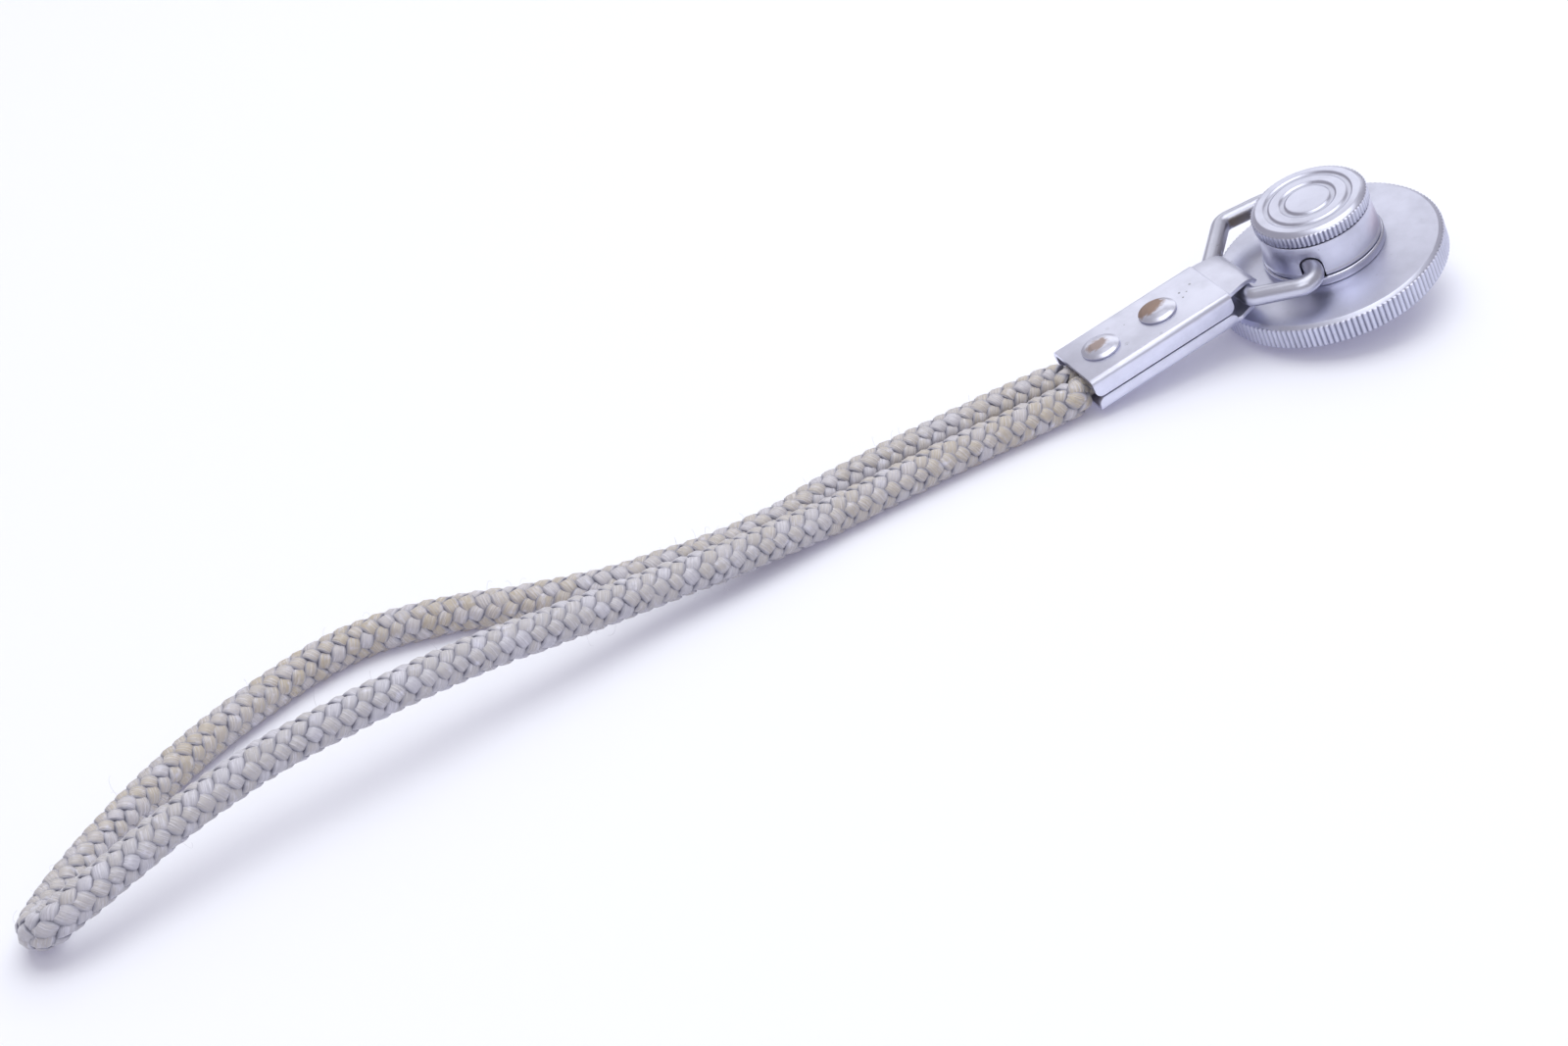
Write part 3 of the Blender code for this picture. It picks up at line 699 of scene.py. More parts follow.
def float_rows(count):
    """A mesh of count pillow shapes in a row along X, each the top of a ball, FLOAT_STEP apart."""
    bm = bmesh.new()
    bmesh.ops.create_uvsphere(bm, u_segments=10, v_segments=8, radius=1.0,
                              matrix=Matrix.Rotation(math.pi / 2, 4, "Y"))
    cut_below(bm, -0.25)
    close_rim(bm)
    bmesh.ops.recalc_face_normals(bm, faces=bm.faces[:])
    piece = add_piece("float_row", bm, [])
    array = piece.modifiers.new("Row", "ARRAY")
    array.count = count
    array.use_relative_offset = False
    array.use_constant_offset = True
    array.constant_offset_displace = (FLOAT_STEP, 0, 0)
    applied(piece)
    mesh = piece.data
    bpy.data.objects.remove(piece)
    return mesh


def weave_floats(mesh, line, radii, length, settings):
    """Moves pillow shapes onto the cord as its braid's floats, and stores what the yarn's looks need."""
    up, out = cord_frames(line)
    count = len(mesh.vertices)
    flat = np.zeros(count * 3, np.float32)
    mesh.vertices.foreach_get("co", flat)
    local = flat.reshape(-1, 3).astype(float)
    cell = np.rint(local[:, 0] / FLOAT_STEP).astype(int)
    row = cell % BRAID_ROWS
    hand = np.where(row % 2 == 0, 1.0, -1.0)
    chance = np.random.default_rng(11)
    cells = cell.max() + 1
    size = (1 + YARN_SIZE_SPREAD * chance.standard_normal(cells))[cell]
    nudge = YARN_NUDGE * chance.standard_normal(cells)
    tilt = YARN_TILT * chance.standard_normal(cells)
    tone = chance.random(cells)

    # The ball's lengthwise circles become sections of a flattened yarn that rises over a crossing and dives
    lengthwise = np.arcsin(np.clip(local[:, 0] - cell * FLOAT_STEP, -1, 1)) / (math.pi / 2)
    round_reach = np.maximum(np.hypot(local[:, 1], local[:, 2]), 1e-6)
    section = local[:, 1:] / round_reach[:, None]
    section[round_reach < 1e-3] = 0
    sideways, outward = (np.sign(section) * np.abs(section) ** YARN_SQUARENESS).T
    wave = np.cos(math.pi * lengthwise * YARN_REACH)

    full = settings.diameter / 2
    mean = full * BRAID_MEAN_RADIUS
    lean = math.atan2(mean * math.tau / BRAID_ROWS, settings.pitch / 2) + tilt[cell]
    crossing = settings.pitch / 2 / np.cos(lean)
    half_width = YARN_WIDTH_SHARE * settings.pitch / 2 * np.sin(lean)
    run = lengthwise * YARN_REACH * crossing
    breadth = sideways * half_width * size * (1 + YARN_SWELL * wave)
    centre = (cell // BRAID_ROWS + 0.5 + 0.5 * (row % 2)) * settings.pitch + nudge[cell]
    reach = np.arange(len(line)) * CORD_SPACING
    scale = np.interp(centre, reach, radii) / full
    along = centre + run * np.cos(lean) + breadth * np.sin(lean)
    arc = hand * (run * np.sin(lean) - breadth * np.cos(lean))
    turn = BRAID_FIRST_ROW + row * math.tau / BRAID_ROWS + arc / mean
    share = np.minimum(YARN_MIDDLE + YARN_RISE * wave + YARN_THICKNESS * outward * size, YARN_TOP)
    placed = on_cord(line, up, out, np.clip(along, 0, reach[-1]), turn, share * full * scale)
    mesh.vertices.foreach_set("co", placed.astype(np.float32).ravel())

    relief = np.minimum((share - YARN_DEEP[0]) / YARN_DEEP[1], (outward - YARN_EDGE[0]) / YARN_EDGE[1])
    stain = np.interp(along / length, STAIN_PLACES, STAIN_LEVELS)
    for name, values in (("relief", np.clip(relief, 0, 1)), ("tone", tone[cell]), ("stain", stain)):
        mesh.attributes.new(name, "FLOAT", "POINT").data.foreach_set("value", values.astype(np.float32))
    corner = np.zeros(len(mesh.loops), np.int32)
    mesh.loops.foreach_get("vertex_index", corner)
    shift = FIBRE_SHIFT * cell % FIBRE_REPEAT
    fibre = np.stack([run / MM + shift, breadth / MM + FIBRE_ACROSS * shift], axis=1)[corner]
    mesh.uv_layers.new(name="fibre").data.foreach_set("uv", fibre.astype(np.float32).ravel())
    mesh.update()


def yarn_material(settings):
    """Braided yarn: fine fibres along each float, worn tops, yellow stains, and painted shade that darkens
    each float towards its edges and deep in the creases between floats.
    """
    material, tree, shader = new_material("braided_yarn", {
        "Roughness": 0.42, "Specular IOR Level": 0.7, "Sheen Weight": 0.45, "Sheen Roughness": 0.35})
    relief = stored(tree, "relief")
    fibre = add_node(tree, "ShaderNodeUVMap", uv_map="fibre").outputs["UV"]
    coarse = add_node(tree, "ShaderNodeMapping", {"Vector": fibre, "Scale": (0.28, 4.2, 1.0)})
    fine = add_node(tree, "ShaderNodeMapping", {"Vector": fibre, "Scale": (0.42, 6.8, 1.0)})
    strands = noise(tree, coarse.outputs["Vector"], 1.2, 1.0, 0.5)
    threads = noise(tree, fine.outputs["Vector"], 1.2, 2.0, 0.6)
    place = object_coordinates(tree)
    blotch = noise(tree, place, 120.0, 2.0, 0.5)
    speckle = noise(tree, place, 700.0, 2.0, 0.5)
    tops = times(tree, ramp(tree, relief, 0.38, 0.85), ramp(tree, speckle, 0.12, 0.48))
    dusty = blend_colour(tree, times(tree, stored(tree, "stain"), ramp(tree, blotch, 0.15, 0.50)),
                         settings.rubbed, settings.stain)
    base = blend_colour(tree, tops, settings.yarn, dusty)
    grey = [component * 0.80 for component in settings.yarn]
    base = blend_colour(tree, times(tree, ramp(tree, stored(tree, "tone"), 0.45, 1.0), 0.6), base, grey)
    pale = [min(1.0, component * 1.35) for component in settings.yarn]
    base = blend_colour(tree, times(tree, ramp(tree, strands, 0.48, 0.70), 0.26), base, pale)
    dull = [component * 0.62 for component in settings.yarn]
    base = blend_colour(tree, times(tree, ramp(tree, threads, 0.52, 0.33), 0.66), base, dull)
    # Painted shade: the floats darken towards their edges, and to the crease colour deep between them
    base = blend_colour(tree, times(tree, ramp(tree, relief, 0.96, 0.45), 0.45), base, settings.crease_shade)
    base = blend_colour(tree, ramp(tree, relief, 0.20, 0.74), settings.crease_shade, base)
    tree.links.new(base, shader.inputs["Base Color"])
    bumped(tree, shader, 0.8, 0.16 * MM, plus(tree, strands, times(tree, threads, 0.5)))
    return material


def hair_lines(line, radii, count):
    """Lines of loose fibres that stand off the cord and curl."""
    up, out = cord_frames(line)
    chance = np.random.default_rng(23)
    length = len(line) * CORD_SPACING
    hairs = []
    for index in range(count):
        along = chance.uniform(0.03, 0.97) * length
        turn = chance.uniform(-math.pi, math.pi)
        reach = chance.uniform(*HAIR_REACH) * MM
        if index % LONG_HAIR_EVERY == 0:
            reach *= LONG_HAIR_SHARE
        slide = chance.uniform(-HAIR_SLIDE, HAIR_SLIDE) * MM
        swing = chance.uniform(-HAIR_SWING, HAIR_SWING)
        radius = np.interp(along, np.arange(len(line)) * CORD_SPACING, radii)
        shares = np.linspace(0, 1, HAIR_POINTS)
        rise = radius * HAIR_ROOT + reach * np.sin(shares * chance.uniform(1.2, 2.6))
        hairs.append(on_cord(line, up, out, np.clip(along + slide * shares ** 1.5, 0, length),
                             turn + swing * shares, rise))
    return hairs


class STRAP_OT_cord(bpy.types.Operator):
    """Make the braided cord and its loose hairs"""
    bl_idname = "strap.cord"
    bl_label = "Cord"

    def execute(self, context):
        settings = context.scene.strap_cord
        line, radii = cord_line(settings.diameter)
        length = float(np.linalg.norm(np.diff(line, axis=0), axis=1).sum())
        cord = self.braid(line, radii, length, settings)
        stand_for(cord, "strap", "braid", "cord_loop")
        hairs = self.hairs(line, radii, settings)
        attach(hairs, "strap")
        return {"FINISHED"}

    def braid(self, line, radii, length, settings):
        """The floats of the braid, over a filling that closes it between them."""
        floats = float_rows(BRAID_ROWS * int(length / settings.pitch))
        weave_floats(floats, line, radii, length, settings)
        points = [Vector(point) for point in line[::6]] + [Vector(line[-1])]
        scales = list(radii[::6] / radii.max()) + [radii[-1] / radii.max()]
        section = circle(FILLING_RADIUS * settings.diameter / 2, FILLING_SIDES)
        bm = sweep(section, along_line(points, scales))
        bm.from_mesh(floats)
        bpy.data.meshes.remove(floats)
        return add_piece("cord_braid", bm, [yarn_material(settings)], sharp=80.0)

    def hairs(self, line, radii, settings):
        """Thin tubes along the loose fibres that stay clear of the floor."""
        curve = bpy.data.curves.new("hairs", "CURVE")
        curve.dimensions = "3D"
        curve.bevel_depth = HAIR_RADIUS
        curve.bevel_resolution = 0
        for hair in hair_lines(line, radii, settings.hairs):
            if hair[:, 2].min() < HAIR_FLOOR_GAP:
                continue
            spline = curve.splines.new("POLY")
            spline.points.add(len(hair) - 1)
            for point, place in zip(spline.points, hair):
                point.co = (*place, 1.0)
        holder = bpy.data.objects.new("hairs", curve)
        bpy.context.scene.collection.objects.link(holder)
        mesh = evaluated_mesh(holder)
        bm = bmesh.new()
        bm.from_mesh(mesh)
        bpy.data.objects.remove(holder)
        bpy.data.curves.remove(curve)
        bpy.data.meshes.remove(mesh)
        material, tree, shader = new_material("loose_fibre", {"Roughness": 0.8, "Sheen Weight": 0.3})
        blotch = noise(tree, object_coordinates(tree), 200.0)
        base = blend_colour(tree, blotch, settings.yarn, settings.rubbed)
        tree.links.new(base, shader.inputs["Base Color"])
        return add_piece("cord_hairs", bm, [material])


class STRAP_OT_stage(bpy.types.Operator):
    """Make the camera, the floor and the lights"""
    bl_idname = "strap.stage"
    bl_label = "Stage"

    def execute(self, context):
        settings = context.scene.strap_stage
        scene = context.scene
        scene.view_settings.view_transform = "Standard"

        camera = bpy.data.cameras.new("camera")
        camera.lens = CAMERA_LENS
        camera.clip_start = 0.01
        viewer = bpy.data.objects.new("camera", camera)
        viewer.matrix_world = (Matrix.Translation(CAMERA_PLACE) @ Matrix.Rotation(-CAMERA_HEADING, 4, "Z")
                               @ Matrix.Rotation(math.pi / 2 - CAMERA_ELEVATION, 4, "X")
                               @ Matrix.Rotation(-CAMERA_ROLL, 4, "Z"))
        scene.collection.objects.link(viewer)
        scene.camera = viewer

        bm = bmesh.new()
        bmesh.ops.create_grid(bm, x_segments=1, y_segments=1, size=settings.floor_size / 2)
        # The floor's emission is painted light, a glow that lifts the shadows on it
        material, tree, shader = new_material("floor", {
            "Roughness": 0.9, "Specular IOR Level": 0.1, "Emission Color": (*settings.painted_floor_glow, 1.0),
            "Emission Strength": 1.0})
        pale = [component * 0.985 for component in settings.floor_colour]
        base = blend_colour(tree, noise(tree, object_coordinates(tree), 3.0), settings.floor_colour, pale)
        tree.links.new(base, shader.inputs["Base Color"])
        floor = add_piece("floor", bm, [material])

        # Soft key overhead, of which reflections show a smaller lamp, and weaker lights behind and in front
        wide = settings.key_size
        small = SHINE_SHARE * wide
        key = settings.key_power * (1 - settings.key_shine)
        shine = settings.key_power * settings.key_shine
        for name, shape, width, height, power, place in (
            ("key", "ELLIPSE", wide, wide, key, (0.30, 0.30, 1.2)),
            ("shine", "ELLIPSE", small, small, shine, (0.06, 0.15, 1.2)),
            ("back", "RECTANGLE", 1.8, 0.9, settings.back_power, (1.6, 0.25, 1.0)),
            ("front", "RECTANGLE", 0.9, 0.6, settings.front_power, (-0.85, 0.0, 1.0)),
        ):
            self.add_lamp(scene, name, shape, (width, height), power, place)

        world = bpy.data.worlds.new("surround")
        world.use_nodes = True
        glow = world.node_tree.nodes["Background"]
        glow.inputs["Color"].default_value = (*settings.world_colour, 1.0)
        glow.inputs["Strength"].default_value = settings.world_strength
        scene.world = world
        return {"FINISHED"}

    def add_lamp(self, scene, name, shape, size, power, place):
        """Adds a lamp that faces the strap, at a place away from the camera, to its right and up."""
        away = Vector((math.sin(CAMERA_HEADING), math.cos(CAMERA_HEADING), 0))
        right = Vector((away.y, -away.x, 0))
        offset = away * place[0] + right * place[1] + Vector((0, 0, place[2]))
        light = bpy.data.lights.new(name, "AREA")
        light.shape = shape
        light.size, light.size_y = size
        light.energy = power
        light.color = LAMP_COLOUR
        lamp = bpy.data.objects.new(name, light)
        lamp.visible_glossy = name != "key"
        lamp.location = LAMP_AIM + offset
        lamp.rotation_euler = (-offset).to_track_quat("-Z", "Y").to_euler()
        scene.collection.objects.link(lamp)


class STRAP_OT_ferrule(bpy.types.Operator):
    """Make the two channels of the ferrule"""
    bl_idname = "strap.ferrule"
    bl_label = "Ferrule"

    def execute(self, context):
        settings = context.scene.strap_ferrule
        material, tree, shader = metal("ferrule_plating", settings.sheet, 0.40, "brushed")
        dark = [0.25 * value for value in settings.sheet]
        for along, aside, size, strength in FERRULE_PITS:
            share = spot(tree, (along * MM, aside * MM, FERRULE_TOP), [size * MM] * 3, 1.5, 0.9, (1.6, 3.0))
            lay_over(tree, shader, times(tree, share, strength), dark)
        for node, side, rows, reach, drop in (
            ("ferrule_upper", 1, TONGUE_ROWS, TONGUE_REACH, TONGUE_DROP),
            ("ferrule_lower", -1, SILL_ROWS, SILL_REACH, SILL_RISE),
        ):
            bm = self.channel(side, rows, reach, drop, settings.width)
            piece = add_piece(node + "_sheet", bm, [material], HEAD)
            wall = piece.modifiers.new("Sheet", "SOLIDIFY")
            wall.thickness = FERRULE_SHEET
            wall.offset = -1
            wall.use_even_offset = True
            edge = piece.modifiers.new("Edges", "BEVEL")
            edge.width = FERRULE_EDGE_BEND
            edge.segments = 2
            edge.limit_method = "ANGLE"
            edge.angle_limit = math.radians(50)
            applied(piece)
            shade(piece.data, 40)
            stand_for(piece, "strap", "ferrule_sheet", node)
        return {"FINISHED"}

    def channel(self, side, rows, reach, drop, width):
        """Outer face of one half, a folded channel with a tongue in front: side +1 upper, -1 lower."""
        outside = FERRULE_TOP if side > 0 else FERRULE_BOTTOM
        edge_height = SEAM_HEIGHT + side * SEAM_GAP / 2
        middle = Vector(((FERRULE_REAR + FERRULE_FRONT) / 2, FERRULE_OFFSET, (outside + edge_height) / 2))
        size = Matrix.Diagonal((FERRULE_FRONT - FERRULE_REAR, width, abs(outside - edge_height), 1))
        bm = bmesh.new()
        bmesh.ops.create_cube(bm, size=1.0, matrix=Matrix.Translation(middle) @ size)
        bm.normal_update()
        gone = [face for face in bm.faces if abs(face.normal.x) > 0.5 or face.normal.z * side < -0.5]
        bmesh.ops.delete(bm, geom=gone, context="FACES")
        corners = [vert for vert in bm.verts if abs(vert.co.z - edge_height) < SAME_PLACE]
        bmesh.ops.bevel(bm, geom=corners, offset=FERRULE_CORNER_BEND, offset_type="OFFSET", segments=6,
                        profile=0.5, affect="VERTICES", material=-1)
        folds = [edge for edge in bm.edges
                 if all(abs(vert.co.z - outside) < SAME_PLACE for vert in edge.verts)
                 and abs(edge.verts[0].co.y - edge.verts[1].co.y) < SAME_PLACE]
        bmesh.ops.bevel(bm, geom=folds, offset=FERRULE_FOLD_BEND, offset_type="OFFSET", segments=8,
                        profile=0.5, affect="EDGES", material=-1)
        front = [edge for edge in bm.edges
                 if all(abs(vert.co.x - FERRULE_FRONT) < SAME_PLACE and abs(vert.co.z - outside) < SAME_PLACE
                        for vert in edge.verts)]
        for ahead, fall, half, shift in rows:
            front, verts = extruded(bm, front)
            for vert in verts:
                hand = 1 if vert.co.y > FERRULE_OFFSET else -1
                vert.co.x = FERRULE_FRONT + reach * ahead
                vert.co.y = FERRULE_OFFSET + width * (shift + hand * half)
                vert.co.z = outside - side * drop * fall
        return bm


class STRAP_OT_rivets(bpy.types.Operator):
    """Make the two rivets, worn brown on top"""
    bl_idname = "strap.rivets"
    bl_label = "Rivets"

    def execute(self, context):
        settings = context.scene.strap_ferrule
        top = FERRULE_TOP / MM
        bottom = FERRULE_BOTTOM / MM
        head = settings.rivet_radius / MM
        corners = (
            (0, top + 0.90, 0), (head * 0.45, top + 0.82, 1.5), (head * 0.78, top + 0.60, 0.8),
            (head - 0.06, top + 0.36, 0.1), (head, top + 0.28, 0.05), (head, top + 0.10, 0.05),
            (head - 0.12, top + 0.02, 0), (1.0, top + 0.02, 0), (1.0, bottom - 0.02, 0),
            (2.4, bottom - 0.02, 0), (2.4, bottom - 0.30, 0.2), (1.7, bottom - 0.62, 0.4),
            (0, bottom - 0.66, 0),
        )
        for node, along in RIVET_PLACES.items():
            back, aside, reach, strength = RIVET_WEAR[node]
            material, tree, shader = metal(node + "_plating", settings.sheet, 0.30, "plain", 0.8)
            centre = (along + back, FERRULE_OFFSET + aside, FERRULE_TOP)
            share = spot(tree, centre, reach, 1.72, 1.28, (2.2, 4.0))
            brown_patch(tree, shader, times(tree, share, strength), settings.brown)
            bm = turned(profile_line(corners, 4), 64)
            place = HEAD @ Matrix.Translation((along, FERRULE_OFFSET, 0))
            piece = add_piece(node + "_head", bm, [material], place)
            stand_for(piece, "strap", "rivet", node)
        return {"FINISHED"}


class STRAP_OT_bail(bpy.types.Operator):
    """Make the bent wire that joins the ferrule to the collar"""
    bl_idname = "strap.bail"
    bl_label = "Bail"

    def execute(self, context):
        settings = context.scene.strap_ferrule
        radius = settings.wire_diameter / 2
        base = Vector((-BAIL_REACH, 0, WIRE_HEIGHT))
        far_base = base + Vector((0, BAIL_FAR_BASE, 0))
        corners = [
            BAIL_SEAT - BAIL_ACROSS * BAIL_END_INSIDE,
            BAIL_SEAT - BAIL_ACROSS * BAIL_ELBOW,
            base + Vector((0, BAIL_NEAR_BASE, 0)),
            far_base,
            far_base + Vector((*BAIL_FAR_SHOULDER, 0)),
            BAIL_SEAT + BAIL_ACROSS * BAIL_ELBOW,
            BAIL_SEAT + BAIL_ACROSS * BAIL_END_INSIDE,
        ]
        points = rounded(corners, BAIL_BENDS, 14)
        section = [(max(-BAIL_FLAT * radius, across), up) for across, up in circle(radius, 32)]
        bm = sweep(section, along_line(points))
        self.tarnish_and_shade(bm, points, radius)
        dull = [0.80 * value for value in settings.sheet]
        material, tree, shader = metal("bail_plating", dull, 0.34, "plain", 0.9)
        patchy = ramp(tree, noise(tree, head_coordinates(tree), 520.0, 4.0, 0.7), 0.30, 0.52)
        # Brown on the wire's inner side: partly tarnish, partly painted shade
        brown_patch(tree, shader, times(tree, stored(tree, "tarnish_and_shade"), patchy), BAIL_TARNISH_AND_SHADE)
        piece = add_piece("bail_wire_ring", bm, [material], HEAD, sharp=30.0)
        stand_for(piece, "bail", "bail_wire", "bail")
        return {"FINISHED"}

    def tarnish_and_shade(self, bm, points, radius):
        """Stores where the wire is browned, partly tarnish and partly painted shade: on the flat inner side,
        towards the bail's far arm.
        """
        inner = bm.verts.layers.float.new("tarnish_and_shade")
        for vert in bm.verts:
            near = min(points, key=lambda point: (point - vert.co).length_squared)
            hollow = BAIL_MIDDLE - near
            hollow.z = 0
            facing = (vert.co - near).dot(hollow.normalized()) / radius
            reach = min(1.0, max(0.0, (vert.co.y - BAIL_TARNISH_AND_SHADE_START) / BAIL_TARNISH_AND_SHADE_SPAN))
            vert[inner] = reach * min(1.0, max(0.0, (facing - 0.70) / 0.20))


class STRAP_OT_collar(bpy.types.Operator):
    """Make the collar with the two notches that hold the bail"""
    bl_idname = "strap.collar"
    bl_label = "Collar"

    def execute(self, context):
        settings = context.scene.strap_head
        foot = settings.collar_radius / MM
        low = COLLAR_BOTTOM / MM
        high = COLLAR_TOP / MM
        corners = (
            (4.6, high, 0), (foot - 0.32, high, 0.12), (foot - 0.06, low + 0.60, 0.6),
            (foot + 0.10, low + 0.32, 0.1), (foot + 0.10, low, 0.08), (foot - 1.1, low, 0),
            (foot - 1.1, high - 1.0, 0.3), (4.6, high - 1.0, 0),
        )
        bm = turned(profile_line(corners), 192, closed=True)
        material, tree, shader = metal("collar_plating", settings.chrome, 0.34, "turned", 0.7)
        # Painted sheen: a warm reflection on the collar's near side
        share = spot(tree, COLLAR_PAINTED_SHEEN_PLACE, COLLAR_PAINTED_SHEEN_REACH, 1.0, 0.2)
        lay_over(tree, shader, times(tree, share, 0.35), COLLAR_PAINTED_SHEEN)
        piece = add_piece("collar_cup", bm, [material], HEAD)
        radius = context.scene.strap_ferrule.wire_diameter / 2 + NOTCH_CLEARANCE
        tool = add_piece("notch_cutter", self.notches(radius), [], HEAD @ Matrix.Translation(BAIL_SEAT))
        boolean = piece.modifiers.new("Notches", "BOOLEAN")
        boolean.operation = "DIFFERENCE"
        boolean.object = tool
        boolean.solver = "EXACT"
        applied(piece)
        bpy.data.objects.remove(tool)
        shade(piece.data, 30)
        stand_for(piece, "collar", "knob_chrome", "collar")
        return {"FINISHED"}

    def notches(self, radius):
        """Shape of both notches: round on top along the bail's ends, and open below."""
        cutter = bmesh.new()
        along = Matrix.Rotation(-BAIL_SWING, 4, "Z") @ Matrix.Rotation(math.pi / 2, 4, "X")
        bmesh.ops.create_cone(cutter, cap_ends=True, segments=48, radius1=radius, radius2=radius,
                              depth=30 * MM, matrix=along)
        cut_below(cutter, 0)
        floor = close_rim(cutter)
        raised = bmesh.ops.extrude_face_region(cutter, geom=floor)["geom"]
        bmesh.ops.delete(cutter, geom=floor, context="FACES_ONLY")
        lowered = [item for item in raised if isinstance(item, bmesh.types.BMVert)]
        bmesh.ops.translate(cutter, verts=lowered, vec=(0, 0, -4 * MM))
        bmesh.ops.recalc_face_normals(cutter, faces=cutter.faces[:])
        return cutter


class STRAP_OT_cap(bpy.types.Operator):
    """Make the cap with its two grooves and its knurled edge"""
    bl_idname = "strap.cap"
    bl_label = "Cap"

    def execute(self, context):
        settings = context.scene.strap_head
        edge = settings.cap_radius / MM
        top = CAP_TOP / MM
        bottom = CAP_BOTTOM / MM

        def hollows(away):
            """Share of the full depth of each groove at a distance from the middle, in millimetres."""
            return [math.exp(-((away - place * edge) / width) ** 4) for place, width, depth in CAP_GROOVES]

        line = []
        for step in range(CAP_STEPS):
            away = (edge - 1.0) * step / (CAP_STEPS - 1)
            dome = top - CAP_DOME * (away / edge) ** 2
            dome -= sum(groove[2] * share for groove, share in zip(CAP_GROOVES, hollows(away)))
            line.append(Vector((away, 0, dome)) * MM)
        line += profile_line((
            (edge - 0.92, top - 0.09, 0), (edge - 0.86, top - 0.11, 0), (edge - 0.29, top - 0.50, 0.05),
            (edge - 0.26, top - 0.55, 0), (edge, top - 0.64, 0), (edge, top - 0.72, 0), (edge, bottom, 0.05),
            (edge - 0.4, bottom, 0), (0, bottom, 0),
        ))
        bm = turned(line, 6 * settings.cap_ridges)
        knurl(bm, settings.cap_ridges, settings.cap_radius, CAP_KNURL_DEPTH, CAP_BOTTOM - 0.1 * MM,
              CAP_TOP - 0.59 * MM, 0.04 * MM)
        # The cap's turned grooves are darkened, partly grime and partly painted shade
        groove_grime_and_shade = bm.verts.layers.float["groove_grime_and_shade"]
        for vert in bm.verts:
            if vert.co.z > CAP_TOP - 0.5 * MM:
                vert[groove_grime_and_shade] = 0.35 * min(1.0, sum(hollows(math.hypot(vert.co.x, vert.co.y) / MM)))
        material = metal("cap_plating", settings.chrome, 0.30, "turned", 0.4)[0]
        piece = add_piece("cap_knurled", bm, [material], HEAD)
        stand_for(piece, "knob", "knob_chrome", "cap")
        return {"FINISHED"}


class STRAP_OT_wheel(bpy.types.Operator):
    """Make the thumb wheel with its knurled rim, and the ring that the collar turns on"""
    bl_idname = "strap.wheel"
    bl_label = "Wheel and ring"

    def execute(self, context):
        settings = context.scene.strap_head
        rim = settings.wheel_radius / MM
        thick = settings.wheel_thickness / MM
        bore = settings.stud_radius / MM + 0.05
        corners = (
            (bore, 0.8, 0), (9.5, 0.8, 0), (rim - 0.80, 0.04, 0.25), (rim - 0.34, -0.30, 0.05),
            (rim - 0.30, -0.36, 0), (rim, -0.46, 0), (rim, -0.54, 0), (rim, -thick + 0.35, 0.1),
            (rim - 0.35, -thick, 0.1), (bore, -thick, 0),
        )
        bm = turned(profile_line(corners), 6 * settings.wheel_ridges, closed=True)
        knurl(bm, settings.wheel_ridges, settings.wheel_radius, WHEEL_KNURL_DEPTH,
              (-thick + 0.1) * MM, -0.40 * MM, 0.06 * MM)
        material = metal("wheel_plating", settings.chrome, 0.38, "turned", 0.5)[0]
        wheel = add_piece("wheel_knurled", bm, [material], HEAD)
        stand_for(wheel, "knob", "wheel_chrome", "wheel")

        ring_corners = ((4.6, 2.25, 0), (9.45, 2.25, 0.35), (9.45, 0.86, 0.12), (4.6, 0.86, 0))
        bm = turned(profile_line(ring_corners, 5), 192, closed=True)
        material = metal("ring_plating", settings.chrome, 0.24, "turned", 0.5)[0]
        ring = add_piece("base_ring_turned", bm, [material], HEAD)
        stand_for(ring, "knob", "knob_chrome", "base_ring")
        return {"FINISHED"}


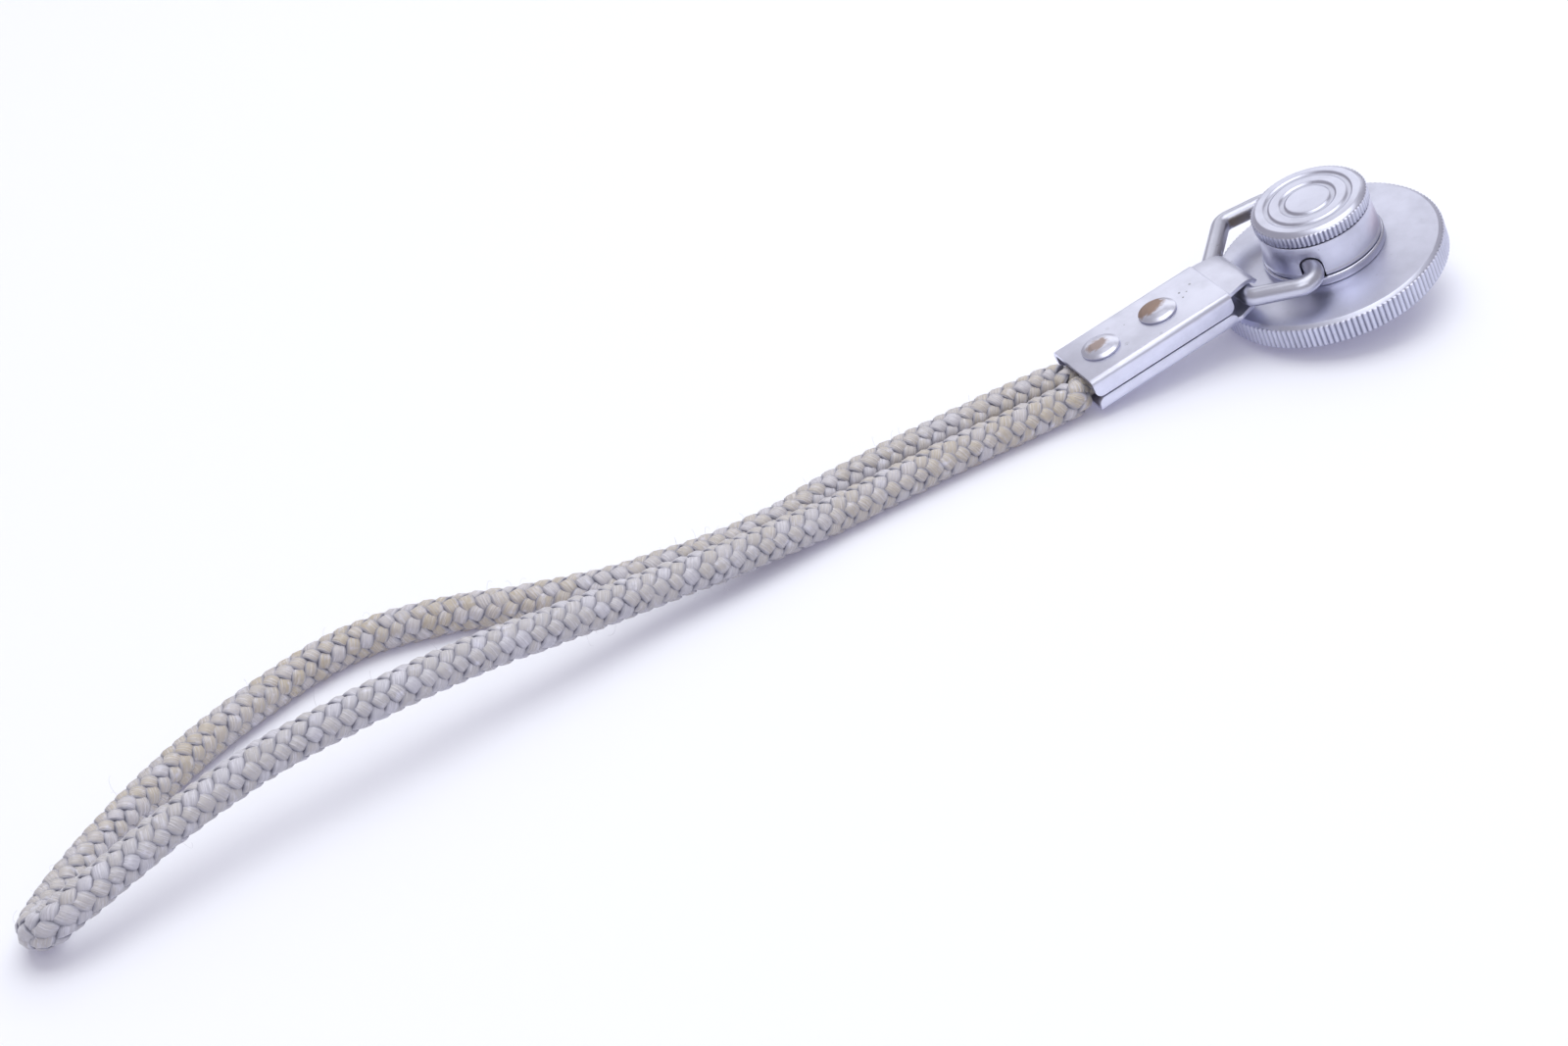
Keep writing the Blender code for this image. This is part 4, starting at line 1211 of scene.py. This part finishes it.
class STRAP_OT_screw(bpy.types.Operator):
    """Make the hub and the threaded screw under the wheel"""
    bl_idname = "strap.screw"
    bl_label = "Screw"

    def execute(self, context):
        settings = context.scene.strap_head
        thread = settings.stud_radius
        thick = settings.wheel_thickness
        bottom = -thick - SCREW_LENGTH
        rows = int((thick + HUB_BOTTOM + SCREW_LENGTH - SCREW_POINT) / THREAD_ROW)
        hub_top = CAP_BOTTOM + 0.05 * MM
        line = [Vector((0, 0, hub_top)), Vector((HUB_RADIUS, 0, hub_top)),
                Vector((HUB_RADIUS, 0, HUB_BOTTOM))]
        for row in range(rows + 1):
            line.append(Vector((thread, 0, HUB_BOTTOM - THREAD_ROW * row)))
        line += [Vector((thread - SCREW_POINT, 0, bottom)), Vector((0, 0, bottom))]
        bm = turned(line, 64)
        for vert in bm.verts:
            share = min(1.0, (-thick - vert.co.z) / THREAD_FADE)
            if share <= 0 or math.hypot(vert.co.x, vert.co.y) < 0.5 * thread:
                continue
            turn = (math.atan2(vert.co.y, vert.co.x) / math.tau + vert.co.z / settings.thread_pitch) % 1
            press_in(vert, THREAD_DEPTH * share * (1 - abs(2 * turn - 1)))
        material = metal("screw_steel", settings.chrome, 0.34, "turned", 0.8)[0]
        piece = add_piece("screw_threaded", bm, [material], HEAD)
        stand_for(piece, "knob", "screw_steel", "screw_stud")
        return {"FINISHED"}


class STRAP_PT_panel(bpy.types.Panel):
    """Lists the strap's pieces and their settings"""
    bl_idname = "STRAP_PT_panel"
    bl_label = "Wrist strap"
    bl_space_type = "VIEW_3D"
    bl_region_type = "UI"
    bl_category = "Wrist strap"

    def draw(self, context):
        layout = self.layout
        for operator in OPERATORS:
            layout.operator(operator.bl_idname)
        for name in SETTINGS:
            group = getattr(context.scene, name)
            box = layout.box()
            for key in group.bl_rna.properties.keys():
                if key not in ("rna_type", "name"):
                    box.prop(group, key)


OPERATORS = (
    STRAP_OT_stage,
    STRAP_OT_cord,
    STRAP_OT_ferrule,
    STRAP_OT_rivets,
    STRAP_OT_bail,
    STRAP_OT_collar,
    STRAP_OT_cap,
    STRAP_OT_wheel,
    STRAP_OT_screw,
)
SETTINGS = {
    "strap_stage": StrapStageSettings,
    "strap_cord": StrapCordSettings,
    "strap_head": StrapHeadSettings,
    "strap_ferrule": StrapFerruleSettings,
}


def register():
    for kind in (*SETTINGS.values(), *OPERATORS, STRAP_PT_panel):
        bpy.utils.register_class(kind)
    for name, kind in SETTINGS.items():
        setattr(bpy.types.Scene, name, PointerProperty(type=kind))


def unregister():
    for name in SETTINGS:
        delattr(bpy.types.Scene, name)
    for kind in reversed((*SETTINGS.values(), *OPERATORS, STRAP_PT_panel)):
        bpy.utils.unregister_class(kind)


def main():
    register()
    for operator in OPERATORS:
        group, name = operator.bl_idname.split(".")
        getattr(getattr(bpy.ops, group), name)()


if __name__ == "__main__":
    main()
